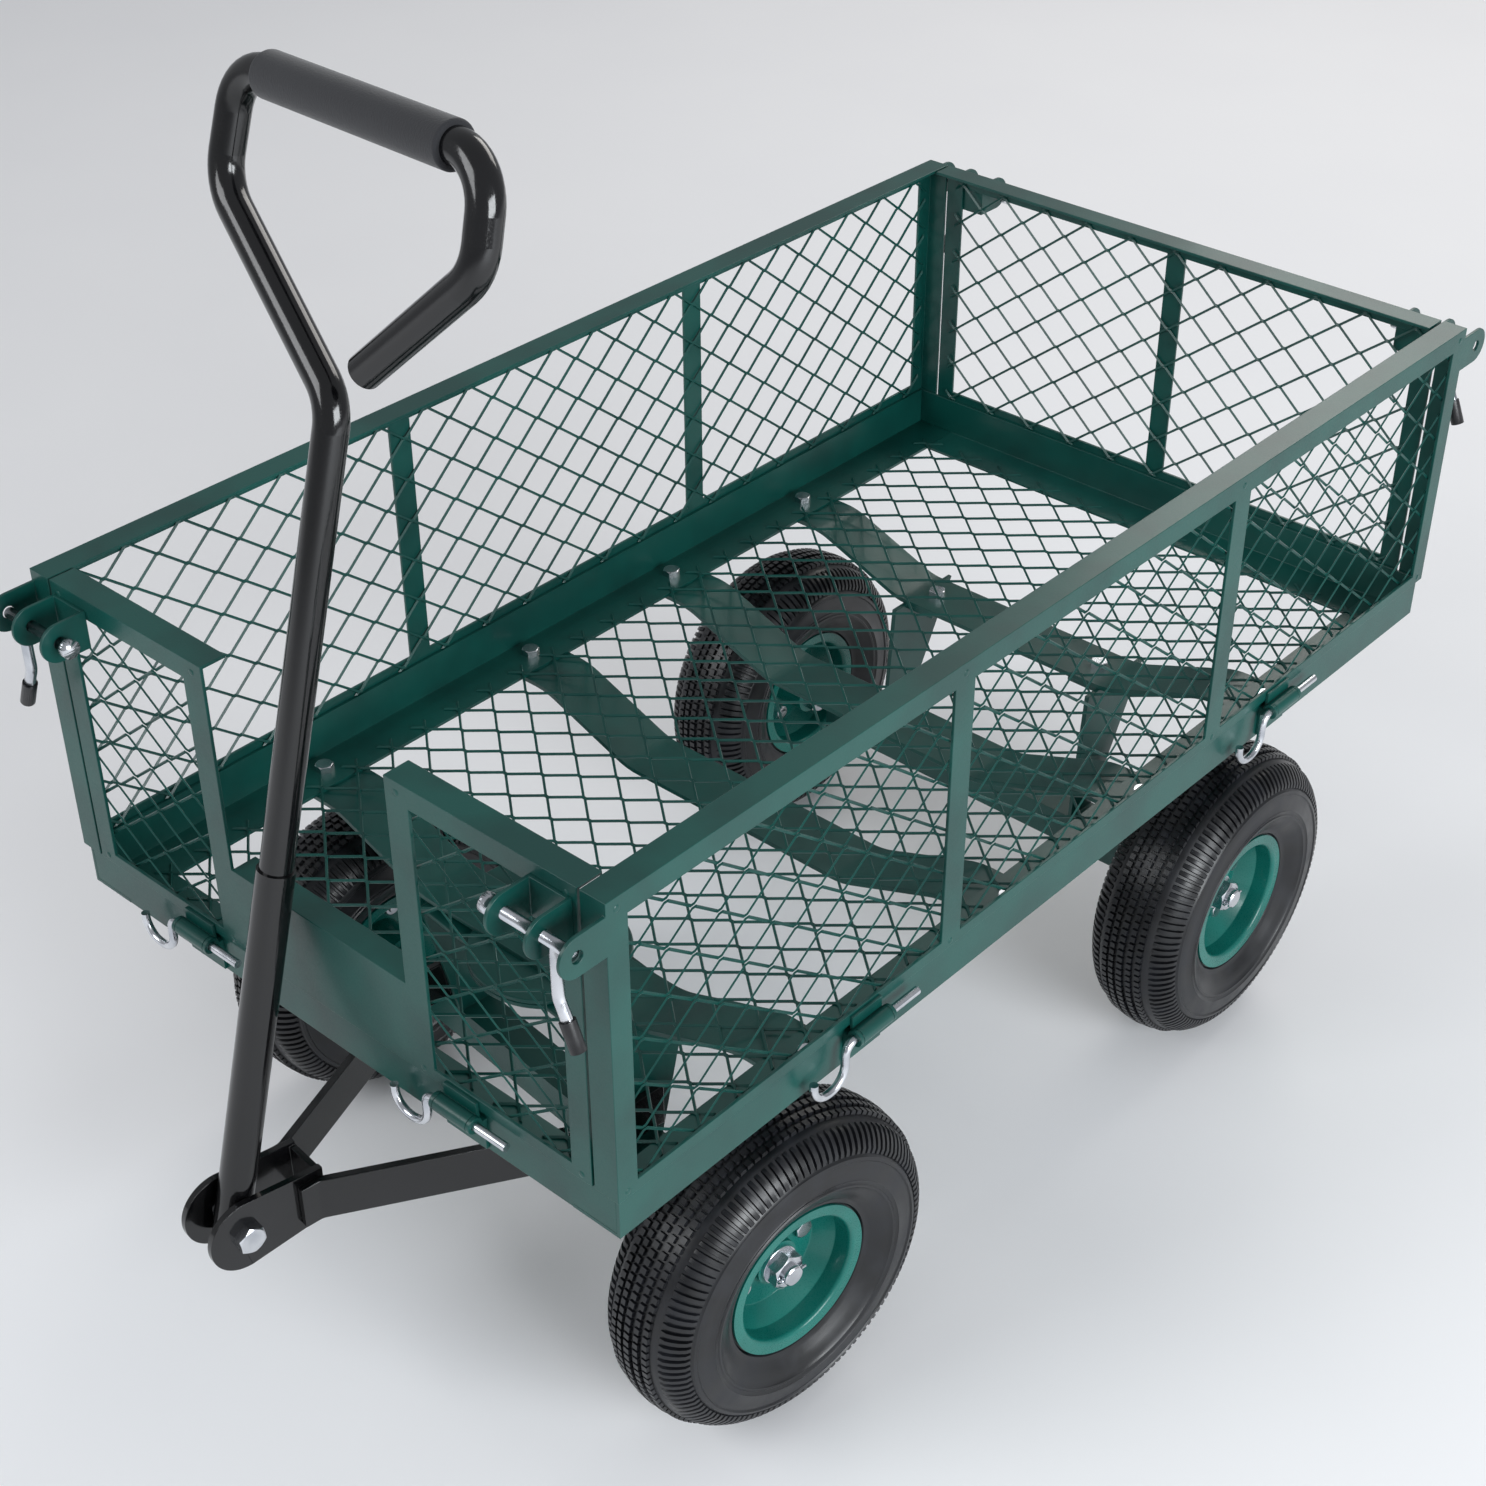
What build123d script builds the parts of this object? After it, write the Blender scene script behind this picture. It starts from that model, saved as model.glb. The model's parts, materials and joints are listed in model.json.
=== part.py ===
from build123d import *
from math import cos, radians, sin
import os

# Four-wheeled steel-mesh garden cart: a flat angle-iron deck with four hinged mesh
# panels, a fixed rear axle, a steered front axle on a turntable, and a D-handle on a
# tongue.  Millimetres, +Z up, +Y to the rear, origin on the ground under the middle
# of the whole footprint.

# ---- tray ----
tray_length = 956.0          # over the side panels' ends
tray_width = 530.0           # over the side panels' outer faces
panel_height = 227.0
panel_steel = 2.5            # thickness of every panel frame
panel_gap = 0.5              # panel frame to deck rail, in plan
panel_overlap = 2.0          # how far a panel's foot hangs below the deck rail's top
foot_rail = 9.0              # height of a panel's bottom rail
top_rail = 16.0              # height of a panel's top rail
top_lip = 20.0               # width of the top rail's inward lip
end_post = 17.0
mid_post = 20.0
rear_mid_post = 18.0
side_bay_posts = 159.5       # side panels' middle posts, from the centre
notch_posts = 95.0           # front panel's inner posts, from the centre
notch_plate = 69.0           # height of the solid plate between them
end_panel_gap = 2.0          # end panel to the side panels' corner flanges

# ---- deck ----
deck_bottom = 298.0          # underside of the deck's horizontal flanges
deck_rail = 35.0             # height of a deck rail
deck_flange = 40.0           # width of its inward flange
deck_steel = 2.5
cross_width = 50.0
cross_steel = 4.0
cross_drop = 34.0
cross_bend_out = 200.0       # where the dropped bars leave the rails' level
cross_bend_in = 110.0        # where they reach their lower level
cross_bend_radius = 60.0
cross_places = {"rear": 279.0, "rear_middle": 106.0, "front_middle": -62.0, "front": -280.0}

# ---- expanded mesh ----
mesh_long = 45.0             # long diagonal of a diamond
mesh_short = 35.0
mesh_strand = 2.4
mesh_sheet = 2.0
mesh_lap = 6.0               # plain border of a sheet, behind its frame
floor_lap = 12.0             # floor sheet on the deck rails' flanges

# ---- running gear ----
wheel_diameter = 254.0
tyre_width = 86.0
tyre_wall = 8.0
track_half = 232.0           # wheel centre plane from the cart's centre line
rear_axle_back = 244.0       # axles, from the deck's centre
kingpin_front = 280.0
rest_steer = -6.2            # the front axle stands turned this much at rest
axle_diameter = 16.0
axle_beam = 30.0             # square bar
beam_short = 64.0            # beam's end to the wheel's centre plane
hub_diameter = 35.0
hub_flange = 43.0
hub_inboard = 34.0
hub_outboard = 10.0
rim_diameter = 119.0
bead_diameter = 103.0
rim_half = 32.0              # outer edge of a rim half, from the wheel's centre plane
rim_steel = 2.0
rim_disc = 80.0              # flat disc where the two halves are bolted
rim_bolt_circle = 60.0
rim_bolts = 4
bolt_size = 8.0
bolt_hex = 13.0              # across flats
bolt_head = 5.5
axle_hex = 24.0
axle_nut = 10.0
axle_washer = 2.5
support_half = 100.0         # axle supports' plates, inner face from the centre
support_steel = 4.0
support_length = 80.0
turntable_radius = 60.0
turntable_steel = 4.0
turntable_gap = 0.3
kingpin_size = 16.0
running_fit = 0.05           # radial, a shaft in its own bore

# ---- tongue and handle ----
tongue_reach = 277.0         # kingpin to handle pivot
pivot_height = 175.0
clevis_radius = 28.0
clevis_steel = 5.0
clevis_inside = 28.0
clevis_back = 62.0           # pivot to the clevis's rear edge
clevis_tail = 44.0           # height there
tongue_bar = 35.0            # height of a tongue bar
tongue_bar_steel = 6.0
pivot_bolt = 12.0
pivot_hex = 19.0
handle_lean = 14.85
stem_diameter = 25.4
stem_wall = 1.6
stem_length = 272.0
stem_foot = 16.0             # tube's end below the pivot
loop_diameter = 22.0
loop_wall = 1.5
loop_insert = 60.0           # how far the upper tube sits in the stem
loop_corners = ((0.0, 581.0), (-136.0, 670.0), (-130.0, 742.0), (108.0, 752.0), (112.0, 692.0))
loop_radii = (31.0, 34.0, 30.0, 29.0, 34.0)
loop_end = (25.0, 608.0)     # the tube's free end, beside the stem
grip_diameter = 29.0
grip_length = 178.0

# ---- hinges and corner latches ----
hinge_out = 7.0              # hinge axis outboard of the panel's face
hinge_drop = 6.0             # and below its foot
hinge_wire = 6.0
hinge_fit = 0.08
barrel_diameter = 12.0
barrel_length = 30.0
barrel_gap = 0.3
hinge_ear = 3.0
hinge_leaf = 2.5
hook_drop = 24.0             # how far the wire's bent end hangs
hook_width = 31.0
side_hinges = 250.0          # hinge places along the side panels, from the centre
end_hinges = 130.0           # and along the end panels
latch_height = 535.0
latch_out = 22.0             # pin axis in front of the end panel's face
latch_pin = 8.0
latch_fit = 0.08
latch_ear_radius = 14.0
latch_ear_steel = 2.5
latch_ears = (207.0, 238.0)  # ears' middles, from the cart's centre line
latch_pin_start = 198.0         # pin's inboard end, with its head on it
latch_head = 13.0             # head's diameter
latch_head_width = 5.0
latch_lever = 248.0
lever_diameter = 7.8
lever_sleeve = 18.0
latch_tip_gap = 0.5          # drawn-back pin to the keeper tab
keeper_fit = 0.3

# ---- what follows from them ----
wheel_radius = wheel_diameter / 2
deck_top = deck_bottom + deck_rail
panel_foot = deck_top - panel_overlap
panel_top = panel_foot + panel_height
side_outer = tray_width / 2
end_outer = tray_length / 2
deck_half_width = side_outer - panel_steel - panel_gap
deck_half_length = end_outer - panel_steel - panel_gap
end_half = side_outer - top_lip - end_panel_gap
hinge_height = panel_foot - hinge_drop
cross_level = deck_bottom - cross_drop
turntable_bottom = cross_level - cross_steel - turntable_steel
steering_top = turntable_bottom - turntable_gap
support_top = steering_top - turntable_steel
beam_top = wheel_radius + axle_beam / 2
beam_half = track_half - beam_short
axle_half = track_half + hub_outboard + turntable_gap + axle_washer + axle_nut + 5.0
cotter_out = axle_half - 3.2
front_reach = kingpin_front + tongue_reach * cos(radians(rest_steer)) + clevis_radius
rear_reach = end_outer + latch_out + latch_ear_radius
deck_bolt_out = deck_half_width - deck_flange / 2
foot_bolt_out = support_half - 14.0
deck_y = (front_reach - rear_reach) / 2

os.makedirs("parts", exist_ok=True)


def on(frame, plane):
    """A plane given in another plane's own coordinates."""
    return Plane(frame.location * plane.location)


def upright(x, y, angle):
    """An upright frame standing at x, y and turned about Z."""
    a = radians(angle)
    return Plane(origin=(x, y, 0), x_dir=(cos(a), sin(a), 0), z_dir=(0, 0, 1))


def save(part, name):
    part.label = name
    export_step(part, f"parts/{name}.step")


deck = upright(0, deck_y, 0)
front_axle = upright(0, deck_y - kingpin_front, rest_steer)
rear_axle = upright(0, deck_y + rear_axle_back, 0)
# each side's own frame has its local +Y pointing out of the tray
sides = {"rear": 0, "left": 90, "front": 180, "right": -90}
sides = {name: upright(0, deck_y, angle) for name, angle in sides.items()}
outer_face = {"rear": end_outer, "front": end_outer, "left": side_outer, "right": side_outer}
hinge_place = {"rear": end_hinges, "front": end_hinges, "left": side_hinges, "right": side_hinges}
hook_side = {"rear": -1, "front": 1, "left": -1, "right": 1}


# ---- deck: four angle-iron rails ----

with BuildPart() as side_rails:
    for end in (-1, 1):
        with BuildSketch(on(deck, Plane.XZ.offset(-deck_half_length))):
            Polygon(
                (end * deck_half_width, deck_bottom),
                (end * deck_half_width, deck_top),
                (end * (deck_half_width - deck_steel), deck_top),
                (end * (deck_half_width - deck_steel), deck_bottom + deck_steel),
                (end * (deck_half_width - deck_flange), deck_bottom + deck_steel),
                (end * (deck_half_width - deck_flange), deck_bottom),
                align=None,
            )
        extrude(amount=2 * deck_half_length)
        with BuildSketch(on(deck, Plane.XY.offset(deck_bottom))):
            with Locations(*((end * deck_bolt_out, y) for y in cross_places.values())):
                Circle(bolt_size / 2 + running_fit)
        extrude(amount=deck_steel, mode=Mode.SUBTRACT)
save(side_rails.part, "deck_side_rails")

with BuildPart() as end_rails:
    for end in (-1, 1):
        wall = end * (deck_half_length - deck_steel / 2)
        shelf = end * (deck_half_length - deck_flange / 2)
        with BuildSketch(on(deck, Plane.XY.offset(deck_bottom + deck_steel))):
            with Locations((0, wall)):
                Rectangle(2 * (deck_half_width - deck_steel), deck_steel)
        extrude(amount=deck_rail - deck_steel)
        with BuildSketch(on(deck, Plane.XY.offset(deck_bottom))):
            with Locations((0, shelf)):
                Rectangle(2 * (deck_half_width - deck_flange), deck_flange)
        extrude(amount=deck_steel)
save(end_rails.part, "deck_end_rails")


# ---- expanded mesh ----

def mesh_places(width, height):
    """Middles of the diamonds that reach into a window, every second row shifted."""
    columns = int(width / mesh_long / 2) + 1
    rows = int(height / mesh_short / 2) + 1
    for i in range(-columns, columns + 1):
        for j in range(-rows, rows + 1):
            for shift in (0, 0.5):
                x, y = (i + shift) * mesh_long, (j + shift) * mesh_short
                if abs(x) < (width + mesh_long) / 2 and abs(y) < (height + mesh_short) / 2:
                    yield x, y


def mesh_holes(width, height):
    """Diamond holes of one sheet, cut off at its window's edges."""
    half_long, half_short = mesh_long / 2, mesh_short / 2
    slant = half_long * half_short / (half_long**2 + half_short**2) ** 0.5
    shrink = 1 - mesh_strand / 2 / slant
    with BuildSketch() as holes:
        with Locations(*mesh_places(width, height)):
            Polygon(
                (-half_long * shrink, 0),
                (0, -half_short * shrink),
                (half_long * shrink, 0),
                (0, half_short * shrink),
                align=None,
            )
        Rectangle(width, height, mode=Mode.INTERSECT)
    return holes.sketch


def mesh_sheet_on(plane, width, height):
    """A sheet of mesh with its back on the plane; the sheet laps behind its frame."""
    with BuildSketch(plane) as sheet:
        Rectangle(width + 2 * mesh_lap, height + 2 * mesh_lap)
        add(mesh_holes(width, height), mode=Mode.SUBTRACT)
    extrude(sheet.sketch, amount=mesh_sheet)


floor_width = 2 * (deck_half_width - deck_flange + floor_lap - mesh_lap)
floor_length = 2 * (deck_half_length - deck_flange + floor_lap - mesh_lap)
with BuildPart() as floor_mesh:
    mesh_sheet_on(on(deck, Plane.XY.offset(deck_bottom + deck_steel)), floor_width, floor_length)
save(floor_mesh.part, "floor_mesh")


# ---- dropped cross members and the bolts that hold them ----

cross_end = deck_half_width - deck_steel - 1.0


def cross_member(name, y):
    """A flat bar that dips under the middle of the deck."""
    upper = deck_bottom - cross_steel / 2
    lower = cross_level - cross_steel / 2
    with BuildPart() as bar:
        with BuildSketch(on(deck, Plane.XZ.offset(-y - cross_width / 2))):
            with BuildLine():
                FilletPolyline(
                    (-cross_end, upper),
                    (-cross_bend_out, upper),
                    (-cross_bend_in, lower),
                    (cross_bend_in, lower),
                    (cross_bend_out, upper),
                    (cross_end, upper),
                    radius=cross_bend_radius,
                )
            trace(line_width=cross_steel)
        extrude(amount=cross_width)
        with BuildSketch(on(deck, Plane.XY.offset(deck_bottom))):
            with Locations((-deck_bolt_out, y), (deck_bolt_out, y)):
                Circle(bolt_size / 2 + running_fit)
            if name == "rear":
                with Locations((-foot_bolt_out, y), (foot_bolt_out, y)):
                    Circle(bolt_size / 2 + running_fit)
            if name == "front":
                with Locations((0, y)):
                    Circle(kingpin_size / 2 + running_fit)
        extrude(amount=-cross_drop - 2 * cross_steel, mode=Mode.SUBTRACT)
    save(bar.part, f"cross_member_{name}")


for name, y in cross_places.items():
    cross_member(name, y)


# ---- panels ----

def opened_outline(plane, spans, foot, top):
    """An upright plate on the plane with one window per pair of posts."""
    left = spans[0][0] - spans[0][1] / 2
    right = spans[-1][0] + spans[-1][1] / 2
    with BuildSketch(plane) as outline:
        with Locations(((left + right) / 2, (foot + top) / 2)):
            Rectangle(right - left, top - foot)
        for (at, width), (following, next_width) in zip(spans, spans[1:]):
            low, high = at + width / 2, following - next_width / 2
            sill, head = foot + foot_rail, top - top_rail
            with Locations(((low + high) / 2, (sill + head) / 2)):
                Rectangle(high - low, head - sill, mode=Mode.SUBTRACT)
    extrude(outline.sketch, amount=panel_steel)


def lip(side, outer, low, high, top):
    """The top rail's inward lip between two places along a panel."""
    with BuildSketch(on(side, Plane.XY.offset(top))) as flange:
        with Locations(((low + high) / 2, outer - top_lip / 2)):
            Rectangle(high - low, top_lip)
    extrude(flange.sketch, amount=-panel_steel)


def windows(spans):
    """Middle and width of each opening between posts."""
    for (at, width), (following, next_width) in zip(spans, spans[1:]):
        low, high = at + width / 2, following - next_width / 2
        yield (low + high) / 2, high - low


side_posts = (
    (-end_outer + end_post / 2, end_post),
    (-side_bay_posts, mid_post),
    (side_bay_posts, mid_post),
    (end_outer - end_post / 2, end_post),
)
rear_posts = ((-end_half + end_post / 2, end_post), (0.0, rear_mid_post), (end_half - end_post / 2, end_post))
notch_posts_right = ((notch_posts, mid_post), (end_half - end_post / 2, end_post))
notch_posts_left = ((-end_half + end_post / 2, end_post), (-notch_posts, mid_post))


def side_panel(name):
    """A long panel: three bays, a lip along its top, a flange and a keeper tab at each end."""
    side, outer = sides[name], outer_face[name]
    keeper_out = end_outer + latch_out
    with BuildPart() as frame:
        opened_outline(on(side, Plane.XZ.offset(-outer)), side_posts, panel_foot, panel_top)
        lip(side, outer, -end_outer, end_outer, panel_top)
        for end in (-1, 1):
            with BuildSketch(on(side, Plane.XY.offset(panel_foot))):
                with Locations((end * (end_outer - panel_steel / 2), outer - top_lip / 2)):
                    Rectangle(panel_steel, top_lip)
            extrude(amount=panel_height)
            with BuildSketch(on(side, Plane.XZ.offset(-outer))):
                with Locations((end * keeper_out, latch_height)):
                    Circle(latch_ear_radius)
                with Locations((end * (end_outer + latch_out / 2 - 1), latch_height)):
                    Rectangle(latch_out + 2, 2 * latch_ear_radius)
            extrude(amount=panel_steel)
            with BuildSketch(on(side, Plane.XZ.offset(-outer))):
                with Locations((end * keeper_out, latch_height)):
                    Circle(latch_pin / 2 + keeper_fit)
            extrude(amount=panel_steel, mode=Mode.SUBTRACT)
    save(frame.part, f"{name}_panel_frame")


def end_panel(name, groups, plate):
    """A short panel; the front one has a notch over a low plate for the handle."""
    side, outer = sides[name], outer_face[name]
    with BuildPart() as frame:
        for posts in groups:
            opened_outline(on(side, Plane.XZ.offset(-outer)), posts, panel_foot, panel_top)
            low = posts[0][0] - posts[0][1] / 2
            high = posts[-1][0] + posts[-1][1] / 2
            lip(side, outer, low, high, panel_top)
        if plate:
            inner = notch_posts - mid_post / 2
            with BuildSketch(on(side, Plane.XZ.offset(-outer))):
                with Locations((0, panel_foot + notch_plate / 2)):
                    Rectangle(2 * inner, notch_plate)
            extrude(amount=panel_steel)
            lip(side, outer, -inner, inner, panel_foot + notch_plate)
    save(frame.part, f"{name}_panel_frame")


def panel_mesh(name, groups):
    """The mesh behind a panel's bays, one sheet for each group of bays."""
    side, outer = sides[name], outer_face[name]
    sill = panel_foot + foot_rail
    head = panel_top - top_rail
    with BuildPart() as mesh:
        for posts in groups:
            bays = list(windows(posts))
            left = bays[0][0] - bays[0][1] / 2
            right = bays[-1][0] + bays[-1][1] / 2
            back = on(side, Plane.XZ.offset(-(outer - panel_steel)))
            middle = on(back, Plane(origin=((left + right) / 2, (sill + head) / 2, 0)))
            mesh_sheet_on(middle, right - left, head - sill)
    save(mesh.part, f"{name}_panel_mesh")


panel_groups = {
    "left": (side_posts,),
    "right": (side_posts,),
    "rear": (rear_posts,),
    "front": (notch_posts_left, notch_posts_right),
}
for name in ("left", "right"):
    side_panel(name)
end_panel("rear", panel_groups["rear"], plate=False)
end_panel("front", panel_groups["front"], plate=True)
for name, groups in panel_groups.items():
    panel_mesh(name, groups)


# ---- panel hinges: a barrel on the panel between two ears on the deck, on a bent wire ----

def barrels(name):
    """The two hinge barrels of a panel, each on a leaf welded to the panel's foot."""
    side, outer = sides[name], outer_face[name]
    axis = outer + hinge_out
    for place in (-hinge_place[name], hinge_place[name]):
        with BuildSketch(on(side, Plane.YZ.offset(place - barrel_length / 2))) as section:
            with Locations((axis, hinge_height)):
                Circle(barrel_diameter / 2)
            with Locations((outer + hinge_leaf / 2, (hinge_height + panel_foot + foot_rail) / 2 - 1)):
                Rectangle(hinge_leaf, panel_foot + foot_rail - hinge_height - 2)
            with Locations((axis, hinge_height)):
                Circle(hinge_wire / 2 + hinge_fit, mode=Mode.SUBTRACT)
        extrude(section.sketch, amount=barrel_length)


for name in ("left", "right"):
    with BuildPart() as hinges:
        barrels(name)
    save(hinges.part, f"{name}_panel_hinges")

ear_start = barrel_length / 2 + barrel_gap
with BuildPart() as brackets:
    for name, side in sides.items():
        wall = outer_face[name] - panel_steel - panel_gap
        axis = outer_face[name] + hinge_out
        for place in (-hinge_place[name], hinge_place[name]):
            with BuildSketch(on(side, Plane.XZ.offset(-wall))):
                with Locations((place, deck_top - deck_rail / 2 - 3)):
                    Rectangle(2 * (ear_start + hinge_ear), deck_rail - 10)
            extrude(amount=-hinge_leaf)
            for end in (-1, 1):
                with BuildSketch(on(side, Plane.YZ.offset(place + end * ear_start))):
                    with Locations((axis, hinge_height)):
                        Circle(barrel_diameter / 2)
                    with Locations(((wall + axis) / 2, hinge_height - 3)):
                        Rectangle(axis - wall, barrel_diameter - 6)
                    with Locations((axis, hinge_height)):
                        Circle(hinge_wire / 2 + hinge_fit, mode=Mode.SUBTRACT)
                extrude(amount=end * hinge_ear)
save(brackets.part, "deck_hinge_brackets")

wire_tail = ear_start + hinge_ear + 28.0
wire_bend = ear_start + hinge_ear + 9.0
with BuildPart() as wires:
    for name, side in sides.items():
        axis = outer_face[name] + hinge_out
        hook = hook_side[name]
        for place in (-hinge_place[name], hinge_place[name]):
            with BuildSketch(on(side, Plane.YZ.offset(place - hook * wire_tail))):
                with Locations((axis, hinge_height)):
                    Circle(hinge_wire / 2)
            with BuildLine(on(side, Plane.XZ.offset(-axis))):
                FilletPolyline(
                    (place - hook * wire_tail, hinge_height),
                    (place + hook * wire_bend, hinge_height),
                    (place + hook * wire_bend, hinge_height - hook_drop - 6),
                    (place + hook * (wire_bend + hook_width), hinge_height - hook_drop - 6),
                    (place + hook * (wire_bend + hook_width), hinge_height - 12),
                    radius=(8, 14.5, 14.5),
                )
            sweep()
save(wires.part, "hinge_pins")


# ---- corner latches: a bent pin in two ears on each end panel ----

def latch_brackets(name):
    """U-shaped brackets near both top corners of an end panel."""
    side, outer = sides[name], outer_face[name]
    middle = sum(latch_ears) / 2
    half = (latch_ears[1] - latch_ears[0]) / 2
    for end in (-1, 1):
        with BuildSketch(on(side, Plane.XZ.offset(-outer))) as back:
            with Locations((end * middle, latch_height)):
                Rectangle(2 * half + latch_ear_steel, 2 * latch_ear_radius)
        extrude(back.sketch, amount=-latch_ear_steel)
        for ear in latch_ears:
            with BuildSketch(on(side, Plane.YZ.offset(end * (ear - latch_ear_steel / 2)))) as ear_shape:
                with Locations((outer + latch_out, latch_height)):
                    Circle(latch_ear_radius)
                with Locations((outer + latch_out / 2, latch_height)):
                    Rectangle(latch_out, 2 * latch_ear_radius)
                with Locations((outer + latch_out, latch_height)):
                    Circle(latch_pin / 2 + latch_fit, mode=Mode.SUBTRACT)
            extrude(ear_shape.sketch, amount=end * latch_ear_steel)


for name in ("rear", "front"):
    with BuildPart() as brackets:
        latch_brackets(name)
    save(brackets.part, f"{name}_latch_brackets")
    with BuildPart() as hinges:
        barrels(name)
    save(hinges.part, f"{name}_panel_hinges")


def latch(name, end, label):
    """A pin with a lever bent down from it and a sleeve on the lever's tip."""
    side = sides[name]
    out = outer_face[name] + latch_out
    tip = side_outer - panel_steel - latch_tip_gap
    knee = (end * latch_lever, latch_height - 38)
    foot = (end * (latch_lever + 13), latch_height - 68)
    lean = Vector(foot[0] - knee[0], foot[1] - knee[1]).normalized()
    cuff = Vector(*foot) - lean * lever_sleeve
    with BuildPart() as pin:
        with BuildSketch(on(side, Plane.YZ.offset(end * latch_pin_start))):
            with Locations((out, latch_height)):
                Circle(latch_pin / 2)
        extrude(amount=end * (tip - latch_pin_start))
        with BuildSketch(on(side, Plane.YZ.offset(end * latch_pin_start))):
            with Locations((out, latch_height)):
                Circle(latch_head / 2)
        extrude(amount=-end * latch_head_width)
        with BuildSketch(on(side, Plane((end * latch_lever, out, latch_height), (1, 0, 0), (0, 0, -1)))):
            Circle(lever_diameter / 2)
        with BuildLine(on(side, Plane.XZ.offset(-out))):
            FilletPolyline((end * latch_lever, latch_height), knee, foot, radius=18)
        sweep()
    cuff_plane = Plane((cuff.X, out, cuff.Y), (0, 1, 0), (lean.X, 0, lean.Y))
    with BuildPart() as sleeve:
        with BuildSketch(on(side, cuff_plane)):
            Circle(lever_diameter / 2 + 1.2)
            Circle(lever_diameter / 2 + running_fit, mode=Mode.SUBTRACT)
        extrude(amount=lever_sleeve)
        with BuildSketch(on(side, cuff_plane.offset(lever_sleeve))):
            Circle(lever_diameter / 2 + 1.2)
        extrude(amount=1.5)
    save(Compound(children=[pin.part, sleeve.part]), label)


latch("front", 1, "latch_front_left")
latch("front", -1, "latch_front_right")
latch("rear", -1, "latch_rear_left")
latch("rear", 1, "latch_rear_right")


# ---- axles ----

def bolt_on(plane, size, hexagon, head, length):
    """A hexagon-headed bolt standing on a plane, its shank going down from it."""
    with BuildSketch(plane) as hexagonal:
        RegularPolygon(hexagon / 2, 6, major_radius=False)
    extrude(hexagonal.sketch, amount=head)
    with BuildSketch(plane) as shank:
        Circle(size / 2)
    extrude(shank.sketch, amount=-length)


def nut_on(plane, size, hexagon, height):
    """A nut standing on a plane."""
    with BuildSketch(plane) as hexagonal:
        RegularPolygon(hexagon / 2, 6, major_radius=False)
        Circle(size / 2 + running_fit, mode=Mode.SUBTRACT)
    extrude(hexagonal.sketch, amount=height)


def axle_beam_on(frame, label, top, plates_back):
    """A square beam bored for the axle, with two welded plates standing on it."""
    with BuildPart() as beam:
        with BuildSketch(on(frame, Plane.YZ.offset(-beam_half))):
            with Locations((0, wheel_radius)):
                Rectangle(axle_beam, axle_beam)
                Circle(axle_diameter / 2 + running_fit, mode=Mode.SUBTRACT)
        extrude(amount=2 * beam_half)
        for end in (-1, 1):
            with BuildSketch(on(frame, Plane.YZ.offset(end * support_half))):
                with BuildLine():
                    Polyline(
                        (-axle_beam / 2, beam_top),
                        (axle_beam / 2, beam_top),
                        (plates_back + support_length / 2, top),
                        (plates_back - support_length / 2, top),
                        close=True,
                    )
                make_face()
            extrude(amount=end * support_steel)
            with BuildSketch(on(frame, Plane.XY.offset(top))):
                with Locations((end * foot_bolt_out, plates_back)):
                    Rectangle(2 * (support_half - foot_bolt_out), cross_width)
                    Circle(bolt_size / 2 + running_fit, mode=Mode.SUBTRACT)
            extrude(amount=-support_steel)
    save(beam.part, label)


def axle_and_nuts(frame, label):
    """A through axle with nuts inside and outside each hub, and cotter pins."""
    with BuildPart() as axle:
        with BuildSketch(on(frame, Plane.YZ.offset(-axle_half))):
            with Locations((0, wheel_radius)):
                Circle(axle_diameter / 2)
        extrude(amount=2 * axle_half)
        chamfer(axle.edges().filter_by(GeomType.CIRCLE), 1)
        for end in (-1, 1):
            across = Plane((end * cotter_out, -axle_diameter, wheel_radius), (1, 0, 0), (0, 1, 0))
            with BuildSketch(on(frame, across)):
                Circle(1.25 + running_fit)
            extrude(amount=2 * axle_diameter, mode=Mode.SUBTRACT)
    save(axle.part, f"{label}_shaft")
    with BuildPart() as nuts:
        for end in (-1, 1):
            outer_end = end * (track_half + hub_outboard + turntable_gap)
            out = Plane((outer_end, 0, wheel_radius), (0, 1, 0), (end, 0, 0))
            inner_end = end * (track_half - hub_inboard - turntable_gap)
            back = Plane((inner_end, 0, wheel_radius), (0, 1, 0), (-end, 0, 0))
            with BuildSketch(on(frame, out)):
                Circle(axle_hex / 2 + 3)
                Circle(axle_diameter / 2 + running_fit, mode=Mode.SUBTRACT)
            extrude(amount=axle_washer)
            nut_on(on(frame, out.offset(axle_washer)), axle_diameter, axle_hex, axle_nut)
            nut_on(on(frame, back), axle_diameter, axle_hex, axle_nut + 2)
            across = Plane((end * cotter_out, -13, wheel_radius), (1, 0, 0), (0, 1, 0))
            with BuildSketch(on(frame, across)):
                Circle(1.25)
            extrude(amount=26)
    save(nuts.part, f"{label}_nuts")


rear_plates_back = cross_places["rear"] - rear_axle_back
axle_beam_on(rear_axle, "rear_axle_beam", cross_level - cross_steel, rear_plates_back)
axle_and_nuts(rear_axle, "rear_axle")
axle_beam_on(front_axle, "front_axle_beam", support_top, 0)
axle_and_nuts(front_axle, "front_axle")

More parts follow.
